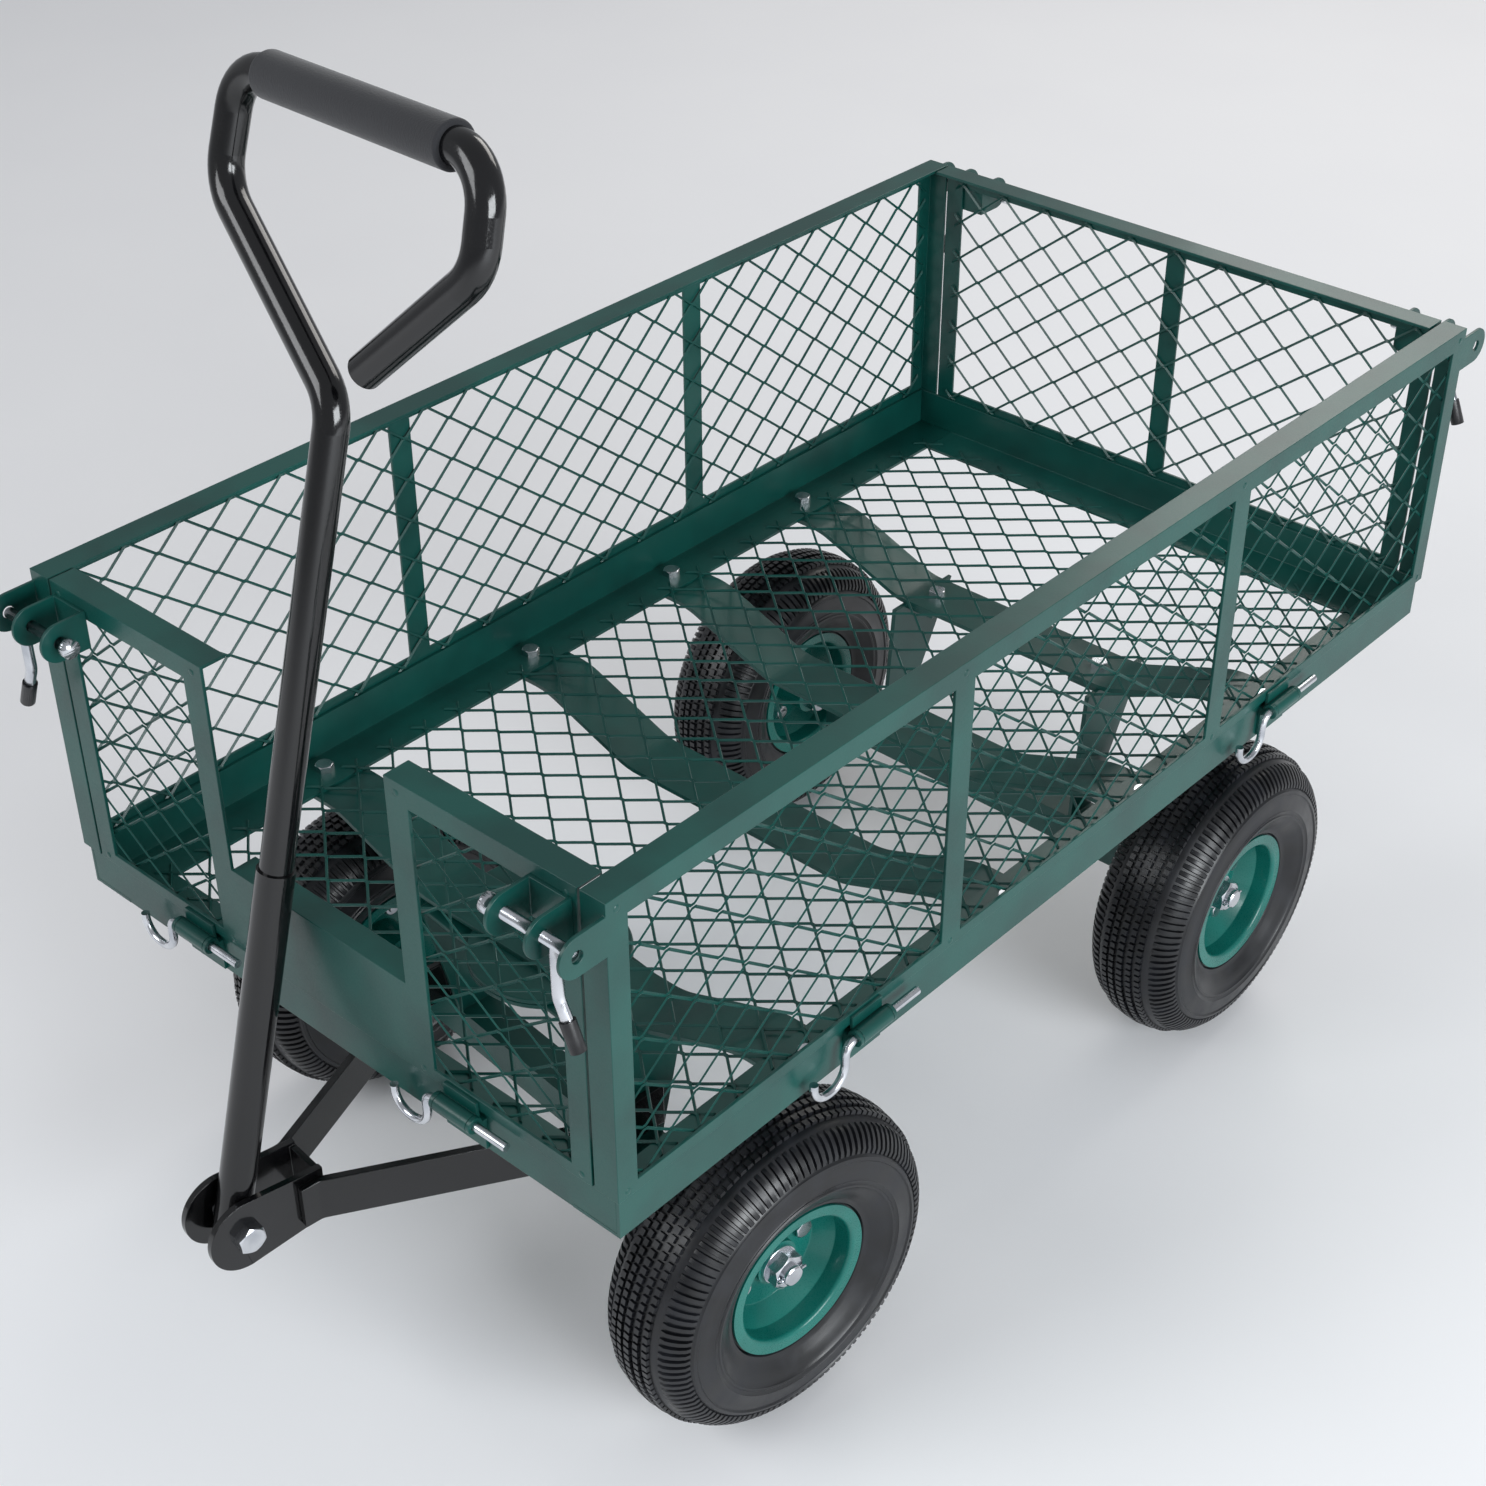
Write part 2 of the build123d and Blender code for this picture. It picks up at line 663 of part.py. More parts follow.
with BuildPart() as chassis_bolts:
    for y in cross_places.values():
        for end in (-1, 1):
            seat = on(deck, Plane((end * deck_bolt_out, y, deck_bottom + deck_steel)))
            bolt_on(seat, bolt_size, bolt_hex, bolt_head, deck_steel + 14)
            under = on(deck, Plane((end * deck_bolt_out, y, deck_bottom - cross_steel), (1, 0, 0), (0, 0, -1)))
            nut_on(under, bolt_size - 2 * running_fit, bolt_hex, bolt_head)
    for end in (-1, 1):
        seat = on(deck, Plane((end * foot_bolt_out, cross_places["rear"], cross_level)))
        bolt_on(seat, bolt_size, bolt_hex, bolt_head, 18)
        foot = cross_level - cross_steel - support_steel
        under = Plane((end * foot_bolt_out, cross_places["rear"], foot), (1, 0, 0), (0, 0, -1))
        nut_on(on(deck, under), bolt_size - 2 * running_fit, bolt_hex, bolt_head)
save(chassis_bolts.part, "chassis_bolts")

# ---- turntable ----

with BuildPart() as turntable:
    with BuildSketch(on(front_axle, Plane.XY.offset(turntable_bottom))):
        Circle(turntable_radius)
        Circle(kingpin_size / 2 + running_fit, mode=Mode.SUBTRACT)
    extrude(amount=turntable_steel)
save(turntable.part, "turntable_plate")

with BuildPart() as steering_plate:
    with BuildSketch(on(front_axle, Plane.XY.offset(support_top))):
        Rectangle(2 * (support_half + support_steel), support_length)
        Circle(turntable_radius)
        Circle(kingpin_size / 2 + running_fit, mode=Mode.SUBTRACT)
    extrude(amount=turntable_steel)
save(steering_plate.part, "steering_plate")

with BuildPart() as kingpin:
    bolt_on(on(front_axle, Plane.XY.offset(cross_level)), kingpin_size, axle_hex, axle_nut, 44)
    under = on(front_axle, Plane((0, 0, support_top - turntable_gap), (1, 0, 0), (0, 0, -1)))
    nut_on(under, kingpin_size - 2 * running_fit, axle_hex, axle_nut + 2)
save(kingpin.part, "kingpin")


# ---- tongue ----

clevis_outside = clevis_inside / 2 + clevis_steel
bar_in = clevis_outside + tongue_bar_steel / 2
bar_out = support_half + support_steel + tongue_bar_steel / 2
for name, end in (("left", -1), ("right", 1)):
    with BuildPart() as bar:
        with BuildSketch(on(front_axle, Plane.XY.offset(pivot_height - tongue_bar / 2))):
            with BuildLine():
                FilletPolyline(
                    (end * bar_in, -tongue_reach + 41),
                    (end * bar_in, -tongue_reach + 55),
                    (end * bar_out, -48),
                    (end * bar_out, 12),
                    radius=12,
                )
            trace(line_width=tongue_bar_steel)
        extrude(amount=tongue_bar)
    save(bar.part, f"tongue_bar_{name}")

with BuildPart() as clevis:
    for end in (-1, 1):
        with BuildSketch(on(front_axle, Plane.YZ.offset(end * clevis_inside / 2))):
            with BuildLine():
                tail = -tongue_reach + clevis_back
                Polyline(
                    (-tongue_reach, pivot_height + clevis_radius),
                    (tail, pivot_height + clevis_tail / 2),
                    (tail, pivot_height - clevis_tail / 2),
                    (-tongue_reach, pivot_height - clevis_radius),
                )
                ThreePointArc(
                    (-tongue_reach, pivot_height - clevis_radius),
                    (-tongue_reach - clevis_radius, pivot_height),
                    (-tongue_reach, pivot_height + clevis_radius),
                )
            make_face()
            with Locations((-tongue_reach, pivot_height)):
                Circle(pivot_bolt / 2 + running_fit, mode=Mode.SUBTRACT)
        extrude(amount=end * clevis_steel)
    with BuildSketch(on(front_axle, Plane.XY.offset(pivot_height - clevis_tail / 2 + 2))):
        with Locations((0, -tongue_reach + clevis_back - clevis_steel / 2)):
            Rectangle(clevis_inside, clevis_steel)
    extrude(amount=clevis_tail - 4)
save(clevis.part, "tongue_clevis")

pivot = Plane((0, -tongue_reach, pivot_height), (0, 1, 0), (1, 0, 0))
with BuildPart() as pivot_pin:
    bolt_on(on(front_axle, pivot.offset(clevis_outside)), pivot_bolt, pivot_hex, 7.5, 2 * clevis_outside + 12)
    far = Plane((-clevis_outside, -tongue_reach, pivot_height), (0, 1, 0), (-1, 0, 0))
    nut_on(on(front_axle, far), pivot_bolt - 2 * running_fit, pivot_hex, 9)
save(pivot_pin.part, "handle_pivot_bolt")


# ---- handle ----

lean = radians(handle_lean)
handle = on(front_axle, Plane((0, -tongue_reach, pivot_height), (1, 0, 0), (0, sin(lean), cos(lean))))

with BuildPart() as stem:
    with BuildSketch(on(handle, Plane.XY.offset(-stem_foot))):
        Circle(stem_diameter / 2)
        Circle(stem_diameter / 2 - stem_wall, mode=Mode.SUBTRACT)
    extrude(amount=stem_foot + stem_length)
    with BuildSketch(on(handle, Plane.YZ.offset(-stem_diameter))):
        Circle(pivot_bolt / 2 + hinge_fit)
    extrude(amount=2 * stem_diameter, mode=Mode.SUBTRACT)
save(stem.part, "handle_stem")

with BuildPart() as loop:
    with BuildSketch(on(handle, Plane.XY.offset(stem_length - loop_insert))):
        Circle(loop_diameter / 2)
        Circle(loop_diameter / 2 - loop_wall, mode=Mode.SUBTRACT)
    with BuildLine(on(handle, Plane.XZ)):
        FilletPolyline(
            (0, stem_length - loop_insert),
            *loop_corners,
            loop_end,
            radius=loop_radii,
        )
    sweep()
save(loop.part, "handle_loop")

grip_from, grip_to = Vector(*loop_corners[2]), Vector(*loop_corners[3])
grip_way = (grip_to - grip_from).normalized()
grip_middle = (grip_from + grip_to) / 2
grip_start = grip_middle - grip_way * (grip_length / 2)
with BuildPart() as grip:
    with BuildSketch(on(handle, Plane((grip_start.X, 0, grip_start.Y), (0, 1, 0), (grip_way.X, 0, grip_way.Y)))):
        Circle(grip_diameter / 2)
        Circle(loop_diameter / 2 + running_fit, mode=Mode.SUBTRACT)
    extrude(amount=grip_length)
    fillet(grip.edges().filter_by(GeomType.CIRCLE).sort_by(SortBy.RADIUS)[-2:], 2)
save(grip.part, "handle_grip")


# ---- wheels ----

def wheel(label, hub_plane):
    """Tyre, two pressed rim halves, hub and rim bolts; the plane's Z is the outward axle."""
    spin = Axis(hub_plane.origin, hub_plane.z_dir)
    section = on(hub_plane, Plane.XZ)
    bead = bead_diameter / 2
    seat = rim_half - rim_steel - turntable_gap
    widest = tyre_width / 2
    shoulder = wheel_radius - 9
    with BuildPart() as tyre:
        with BuildSketch(section):
            with BuildLine():
                for end in (1, -1):
                    Polyline(
                        (bead, end * (seat - tyre_wall)),
                        (bead, end * (seat - 2)),
                        (bead + 2, end * seat),
                        (rim_diameter / 2, end * seat),
                    )
                    ThreePointArc(
                        (rim_diameter / 2, end * seat),
                        ((bead + wheel_radius) / 2, end * widest),
                        (shoulder, end * (widest - 7)),
                    )
                    ThreePointArc(
                        (bead, end * (seat - tyre_wall)),
                        ((bead + wheel_radius) / 2, end * (widest - tyre_wall)),
                        (shoulder - 6, end * (widest - tyre_wall - 8)),
                    )
                ThreePointArc((shoulder, widest - 7), (wheel_radius, 0), (shoulder, 7 - widest))
                ThreePointArc(
                    (shoulder - 6, widest - tyre_wall - 8),
                    (wheel_radius - tyre_wall, 0),
                    (shoulder - 6, 8 + tyre_wall - widest),
                )
            make_face()
        revolve(axis=spin)
    save(tyre.part, f"{label}_tyre")

    halves = []
    for end in (1, -1):
        with BuildPart() as half:
            with BuildSketch(section):
                with BuildLine():
                    FilletPolyline(
                        (hub_diameter / 2 + running_fit, end * rim_steel / 2),
                        (rim_disc / 2, end * rim_steel / 2),
                        (bead - rim_steel / 2 - running_fit, end * rim_half / 2),
                        (bead - rim_steel / 2 - running_fit, end * (rim_half - rim_steel / 2)),
                        (rim_diameter / 2, end * (rim_half - rim_steel / 2)),
                        radius=2.5,
                    )
                trace(line_width=rim_steel)
            revolve(axis=spin)
            with BuildSketch(hub_plane):
                with PolarLocations(rim_bolt_circle / 2, rim_bolts, start_angle=20):
                    Circle(bolt_size / 2 + running_fit)
            extrude(amount=end * 2 * rim_steel, mode=Mode.SUBTRACT)
        halves.append(half.part)
    save(Compound(children=halves), f"{label}_rim")

    with BuildPart() as hub:
        with BuildSketch(hub_plane.offset(-hub_inboard)):
            Circle(hub_diameter / 2)
            Circle(axle_diameter / 2 + running_fit, mode=Mode.SUBTRACT)
        extrude(amount=hub_inboard + hub_outboard)
        with BuildSketch(hub_plane.offset(rim_steel)):
            Circle(hub_flange / 2)
            Circle(axle_diameter / 2 + running_fit, mode=Mode.SUBTRACT)
        extrude(amount=rim_steel)
    save(hub.part, f"{label}_hub")

    with BuildPart() as bolts:
        with PolarLocations(rim_bolt_circle / 2, rim_bolts, start_angle=20) as ring:
            for spot in ring.local_locations:
                seat_plane = on(hub_plane, Plane(spot)).offset(rim_steel)
                nut_plane = Plane(seat_plane.offset(-2 * rim_steel).origin, seat_plane.x_dir, -seat_plane.z_dir)
                bolt_on(seat_plane, bolt_size, bolt_hex, bolt_head, 2 * rim_steel + 9)
                nut_on(nut_plane, bolt_size - 2 * running_fit, bolt_hex, bolt_head)
    save(bolts.part, f"{label}_rim_bolts")


for row, frame in (("front", front_axle), ("rear", rear_axle)):
    for side, end in (("left", -1), ("right", 1)):
        wheel(f"{row}_{side}", on(frame, Plane((end * track_half, 0, wheel_radius), (0, 1, 0), (end, 0, 0))))
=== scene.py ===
import bpy
import bmesh
import json
from math import ceil, cos, pi, radians, sin, tan
from mathutils import Matrix, Vector

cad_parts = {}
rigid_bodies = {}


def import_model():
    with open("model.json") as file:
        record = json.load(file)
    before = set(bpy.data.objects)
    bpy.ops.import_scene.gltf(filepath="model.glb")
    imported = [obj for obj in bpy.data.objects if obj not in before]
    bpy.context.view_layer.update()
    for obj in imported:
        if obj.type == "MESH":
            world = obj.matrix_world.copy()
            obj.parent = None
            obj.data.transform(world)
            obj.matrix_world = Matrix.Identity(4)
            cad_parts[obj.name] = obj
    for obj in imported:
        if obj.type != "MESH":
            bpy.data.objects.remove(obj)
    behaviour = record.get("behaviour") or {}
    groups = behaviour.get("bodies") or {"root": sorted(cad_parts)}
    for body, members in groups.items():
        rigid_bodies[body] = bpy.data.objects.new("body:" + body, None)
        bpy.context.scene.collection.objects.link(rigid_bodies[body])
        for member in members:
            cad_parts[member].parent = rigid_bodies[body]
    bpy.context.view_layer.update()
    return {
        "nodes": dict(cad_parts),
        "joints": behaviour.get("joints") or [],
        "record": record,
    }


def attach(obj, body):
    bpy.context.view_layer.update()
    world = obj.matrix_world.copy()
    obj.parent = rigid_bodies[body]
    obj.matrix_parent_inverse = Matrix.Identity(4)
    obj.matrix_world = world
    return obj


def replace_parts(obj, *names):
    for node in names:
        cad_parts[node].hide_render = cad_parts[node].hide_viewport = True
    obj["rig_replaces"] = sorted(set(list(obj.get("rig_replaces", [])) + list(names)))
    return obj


# Steel mesh garden cart: the frame comes from the CAD, this dresses it.
# Metres, +Z up, handle towards -Y, same frame as the CAD.

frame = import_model()
cad = frame["nodes"]
jointOf = {j["name"]: j for j in frame["joints"]}
bodyOf = {n: b for b, members in frame["record"]["behaviour"]["bodies"].items() for n in members}
slotOf = {s["node"]: s["material_slot"] for s in frame["record"]["subparts"]}
scene = bpy.context.scene
mm = 0.001


def fromHex(code):  # sRGB hex to the linear colour a shader wants
    parts = [int(code[i:i + 2], 16) / 255 for i in (1, 3, 5)]
    return tuple(c / 12.92 if c <= 0.04045 else ((c + 0.055) / 1.055) ** 2.4 for c in parts) + (1.0,)


def addNode(tree, kind, settings=None, links=None):
    node = tree.nodes.new(kind)
    for key, value in (settings or {}).items():
        if isinstance(key, str) and hasattr(node, key):
            setattr(node, key, value)
        else:
            node.inputs[key].default_value = value
    for key, source in (links or {}).items():
        tree.links.new(source, node.inputs[key])
    return node


def newMaterial(name, surface):
    material = bpy.data.materials.new(name)
    material.use_nodes = True
    tree = material.node_tree
    tree.nodes.clear()
    shader = addNode(tree, "ShaderNodeBsdfPrincipled", surface)
    addNode(tree, "ShaderNodeOutputMaterial", None, {"Surface": shader.outputs[0]})
    spot = addNode(tree, "ShaderNodeTexCoord").outputs["Object"]
    return material, tree, shader, spot


def blend(tree, factor, low, high):  # colour ramp between two (position, sRGB hex) stops
    node = addNode(tree, "ShaderNodeValToRGB", None, {"Fac": factor})
    for element, (position, code) in zip(node.color_ramp.elements, (low, high)):
        element.position = position
        element.color = fromHex(code)
    return node.outputs["Color"]


def bumped(tree, height, strength, depth):
    bump = addNode(tree, "ShaderNodeBump", {"Strength": strength, "Distance": depth}, {"Height": height})
    return bump.outputs["Normal"]


def feed(tree, shader, colour, rough=None, normal=None):
    for source, key in ((colour, "Base Color"), (rough, "Roughness"), (normal, "Normal")):
        if source:
            tree.links.new(source, shader.inputs[key])


powderCoat = {
    "green": "#0a4a43",
    "greenThin": "#083d38",
    "rim": "#0d6b61",
    "rimThin": "#0b5a52",      # where the film is thinner
    "black": "#070708",
    "blackThin": "#0c0c0e",
    "peelSize": 2.2 * mm,        # orange peel, one dimple
    "blotchSize": 60 * mm,
    "dustSize": 0.9 * mm,
}


def powderCoated(name, full, thin, roughness, peelDepth, gloss, coat):
    # Baked powder on steel: satin gloss, faint orange peel, film thins a little in patches.
    material, tree, shader, spot = newMaterial(name, {
        "Roughness": roughness, "IOR": 1.5, "Specular IOR Level": gloss,
        "Coat Weight": coat, "Coat Roughness": 0.1,
    })
    blotch = addNode(tree, "ShaderNodeTexNoise", {"Scale": 1 / powderCoat["blotchSize"], "Detail": 3.0},
                     {"Vector": spot})
    colour = blend(tree, blotch.outputs["Fac"], (0.35, thin), (0.62, full))
    peel = addNode(tree, "ShaderNodeTexNoise", {"Scale": 1 / powderCoat["peelSize"], "Detail": 1.0},
                   {"Vector": spot})
    dust = addNode(tree, "ShaderNodeTexNoise", {"Scale": 1 / powderCoat["dustSize"], "Detail": 2.0},
                   {"Vector": spot})
    matt = addNode(tree, "ShaderNodeMapRange", {
        "From Min": 0.35, "From Max": 0.75, "To Min": roughness - 0.05, "To Max": roughness + 0.1,
    }, {"Value": dust.outputs["Fac"]})
    normal = bumped(tree, peel.outputs["Fac"], 0.35, peelDepth)
    feed(tree, shader, colour=colour, rough=matt.outputs["Result"], normal=normal)
    return material


zincPlate = {"face": "#dcdee2", "dull": "#bcc0c7", "spangle": 16 * mm, "grain": 0.35 * mm}


def zincPlated(name, roughness):
    # Bright zinc on steel: a cool metal with a soft cloudiness and fine polishing grain.
    material, tree, shader, spot = newMaterial(name, {"Metallic": 1.0, "Roughness": roughness})
    cloud = addNode(tree, "ShaderNodeTexNoise", {"Scale": 1 / zincPlate["spangle"], "Detail": 2.0},
                    {"Vector": spot})
    colour = blend(tree, cloud.outputs["Fac"], (0.3, zincPlate["dull"]), (0.6, zincPlate["face"]))
    grain = addNode(tree, "ShaderNodeTexNoise", {"Scale": 1 / zincPlate["grain"], "Detail": 2.0},
                    {"Vector": spot})
    matt = addNode(tree, "ShaderNodeMapRange", {
        "From Min": 0.3, "From Max": 0.7, "To Min": roughness - 0.03, "To Max": roughness + 0.06,
    }, {"Value": cloud.outputs["Fac"]})
    normal = bumped(tree, grain.outputs["Fac"], 0.08, 0.03 * mm)
    feed(tree, shader, colour=colour, rough=matt.outputs["Result"], normal=normal)
    return material


tyreRubber = {"black": "#090a0d", "bloom": "#14161c", "patch": 22 * mm, "grain": 0.7 * mm}


def mouldedRubber(name):
    # Carbon-black tyre compound from a mould: dark, broad soft sheen, a greyish bloom in patches.
    material, tree, shader, spot = newMaterial(name, {"Roughness": 0.5, "IOR": 1.52})
    patch = addNode(tree, "ShaderNodeTexNoise", {"Scale": 1 / tyreRubber["patch"], "Detail": 4.0},
                    {"Vector": spot})
    colour = blend(tree, patch.outputs["Fac"], (0.4, tyreRubber["black"]), (0.75, tyreRubber["bloom"]))
    grain = addNode(tree, "ShaderNodeTexNoise", {"Scale": 1 / tyreRubber["grain"], "Detail": 2.0},
                    {"Vector": spot})
    matt = addNode(tree, "ShaderNodeMapRange", {
        "From Min": 0.35, "From Max": 0.7, "To Min": 0.3, "To Max": 0.46,
    }, {"Value": patch.outputs["Fac"]})
    normal = bumped(tree, grain.outputs["Fac"], 0.3, 0.12 * mm)
    feed(tree, shader, colour=colour, rough=matt.outputs["Result"], normal=normal)
    return material


foam = {"skin": "#1b1c21", "pore": "#0c0c0e", "cell": 1.1 * mm}


def nitrileFoam(name):
    # Closed-cell foam sleeve: matt charcoal, tiny pores over a soft skin.
    material, tree, shader, spot = newMaterial(name, {
        "Roughness": 0.8, "IOR": 1.48, "Sheen Weight": 0.25, "Sheen Roughness": 0.5,
    })
    cells = addNode(tree, "ShaderNodeTexVoronoi", {"Scale": 1 / foam["cell"]}, {"Vector": spot})
    colour = blend(tree, cells.outputs["Distance"], (0.05, foam["pore"]), (0.3, foam["skin"]))
    feed(tree, shader, colour=colour, normal=bumped(tree, cells.outputs["Distance"], 0.6, 0.25 * mm))
    return material


vinyl = {"black": "#0d0d0f", "worn": "#1b1b1e", "wrinkle": 1.5 * mm}


def dippedVinyl(name):
    # Soft PVC cap: black, half gloss, slightly uneven from the dip.
    material, tree, shader, spot = newMaterial(name, {"Roughness": 0.35, "IOR": 1.53})
    wrinkle = addNode(tree, "ShaderNodeTexNoise", {"Scale": 1 / vinyl["wrinkle"], "Detail": 2.0},
                      {"Vector": spot})
    colour = blend(tree, wrinkle.outputs["Fac"], (0.0, vinyl["black"]), (1.0, vinyl["worn"]))
    feed(tree, shader, colour=colour, normal=bumped(tree, wrinkle.outputs["Fac"], 0.3, 0.2 * mm))
    return material


greenPaint = powderCoated("greenPowderCoat", powderCoat["green"], powderCoat["greenThin"],
                          0.34, 0.1 * mm, 0.4, 0.1)
rimPaint = powderCoated("rimPowderCoat", powderCoat["rim"], powderCoat["rimThin"], 0.3, 0.08 * mm, 0.4, 0.15)
blackPaint = powderCoated("blackPowderCoat", powderCoat["black"], powderCoat["blackThin"],
                          0.14, 0.05 * mm, 0.5, 0.2)
zinc = zincPlated("brightZinc", 0.2)
rubber = mouldedRubber("tyreRubber")
gripFoam = nitrileFoam("gripFoam")
sleeveVinyl = dippedVinyl("sleeveVinyl")
finishOf = {"green": greenPaint, "black": blackPaint, "zinc": zinc, "tyre": rubber, "grip": gripFoam}
print("materials ready")


def dress(piece, material):
    piece.data.materials.clear()
    piece.data.materials.append(material)


def hand(piece, node):  # a new piece takes over from the CAD node it was made for
    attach(piece, bodyOf[node])
    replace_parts(piece, node)


def newPiece(name, mesh, material):
    piece = bpy.data.objects.new(name, mesh)
    scene.collection.objects.link(piece)
    dress(piece, material)
    return piece


def settle(piece):  # bake live modifiers into a plain mesh
    evaluated = piece.evaluated_get(bpy.context.evaluated_depsgraph_get())
    mesh = bpy.data.meshes.new_from_object(evaluated)
    piece.modifiers.clear()
    piece.data = mesh
    return piece


def merged(pieces):  # the first piece takes in the others' meshes
    bm = bmesh.new()
    for piece in pieces:
        bm.from_mesh(piece.data)
    bm.to_mesh(pieces[0].data)
    bm.free()
    for piece in pieces[1:]:
        bpy.data.objects.remove(piece)
    return pieces[0]


def smoothUnder(mesh, degrees):
    mesh.polygons.foreach_set("use_smooth", [True] * len(mesh.polygons))
    mesh.set_sharp_from_angle(angle=radians(degrees))
    mesh.update()


def meshFrom(bm, name):
    mesh = bpy.data.meshes.new(name)
    bm.to_mesh(mesh)
    bm.free()
    return mesh


def welded(node):  # a merged copy of a CAD node's loose triangles
    bm = bmesh.new()
    bm.from_mesh(cad[node].data)
    bmesh.ops.remove_doubles(bm, verts=bm.verts, dist=0.002 * mm)
    return bm


def newTree(name, inputs):
    tree = bpy.data.node_groups.new(name, "GeometryNodeTree")
    tree.interface.new_socket("Geometry", in_out="INPUT", socket_type="NodeSocketGeometry")
    for label, kind in inputs:
        tree.interface.new_socket(label, in_out="INPUT", socket_type="NodeSocket" + kind)
    tree.interface.new_socket("Geometry", in_out="OUTPUT", socket_type="NodeSocketGeometry")
    return tree, addNode(tree, "NodeGroupInput").outputs


def finishTree(tree, given, geometry):
    real = addNode(tree, "GeometryNodeRealizeInstances", None, {"Geometry": geometry})
    coated = addNode(tree, "GeometryNodeSetMaterial", None,
                     {"Geometry": real.outputs[0], "Material": given["Material"]})
    addNode(tree, "NodeGroupOutput", None, {0: coated.outputs[0]})


def grow(tree, name, values, mesh=None):
    host = bpy.data.objects.new(name, mesh or bpy.data.meshes.new(name))
    scene.collection.objects.link(host)
    modifier = host.modifiers.new(tree.name, "NODES")
    modifier.node_group = tree
    socketOf = {s.name: s.identifier for s in tree.interface.items_tree if s.in_out == "INPUT"}
    for label, value in values.items():
        modifier[socketOf[label]] = value
    return settle(host)


def spun(name, outline, steps, closed=True):
    # an outline of (radius, height) points turned about Z
    bm = bmesh.new()
    rings = []
    for i in range(steps):
        a = 2 * pi * i / steps
        rings.append([bm.verts.new((r * cos(a), r * sin(a), h)) for r, h in outline])
    last = len(outline) if closed else len(outline) - 1
    for i in range(steps):
        here, there = rings[i], rings[(i + 1) % steps]
        for j in range(last):
            k = (j + 1) % len(outline)
            bm.faces.new((here[j], there[j], there[k], here[k]))
    bmesh.ops.remove_doubles(bm, verts=bm.verts, dist=0.001 * mm)
    bmesh.ops.recalc_face_normals(bm, faces=bm.faces)
    return meshFrom(bm, name)


def standing(origin, axis):  # matrix whose Z runs along the axis
    z = Vector(axis).normalized()
    x = Vector((0, 0, 1)) if abs(z.z) < 0.9 else Vector((1, 0, 0))
    x = (x - z * x.dot(z)).normalized()
    y = z.cross(x)
    m = Matrix((x, y, z)).transposed().to_4x4()
    return Matrix.Translation(Vector(origin)) @ m


# sheet metal: the CAD's shapes with the softened edges of cut and folded steel

sheetEdges = {
    "soft": 0.5 * mm,      # sheared and pressed steel
    "heavy": 0.9 * mm,     # flame-cut plates and bars
    "segments": 2,
    "flat": 1,             # degrees: facets flatter than this are one face
    "smooth": 30,          # degrees: shaded smooth up to here
    "bevelled": 40,        # degrees: edges sharper than this are softened
}
pressed = [
    "deck_side_rails", "deck_end_rails", "deck_hinge_brackets",
    "rear_latch_brackets", "front_latch_brackets",
] + [f"{side}_panel_{kind}" for side in ("left", "right", "rear", "front") for kind in ("frame", "hinges")]
cut = [
    "cross_member_front", "cross_member_front_middle", "cross_member_rear_middle", "cross_member_rear",
    "rear_axle_beam", "front_axle_beam", "turntable_plate", "steering_plate",
    "tongue_bar_left", "tongue_bar_right", "tongue_clevis",
]


def softEdged(node, width):
    bm = welded(node)
    bmesh.ops.dissolve_limit(bm, angle_limit=radians(sheetEdges["flat"]), verts=bm.verts, edges=bm.edges)
    mesh = meshFrom(bm, node + "Steel")
    piece = newPiece(node + "Steel", mesh, finishOf[slotOf[node]])
    smoothUnder(mesh, sheetEdges["smooth"])
    bevel = piece.modifiers.new("edge", "BEVEL")
    bevel.width = width
    bevel.segments = sheetEdges["segments"]
    bevel.limit_method = "ANGLE"
    bevel.angle_limit = radians(sheetEdges["bevelled"])
    bevel.harden_normals = True
    settle(piece)
    hand(piece, node)


for node in pressed:
    softEdged(node, sheetEdges["soft"])
for node in cut:
    softEdged(node, sheetEdges["heavy"])
print("sheet metal:", len(pressed) + len(cut), "pieces")


expanded = {
    "long": 45 * mm,          # diamond, along the strands' run
    "short": 35 * mm,
    "strand": 1.9 * mm,
    "thickness": 1.2 * mm,
    "bond": 3.0 * mm,         # flat length of a knuckle
    "tilt": radians(32),      # strands lean out of the sheet
    "setBack": 0.6 * mm,      # behind the CAD sheet's face
}


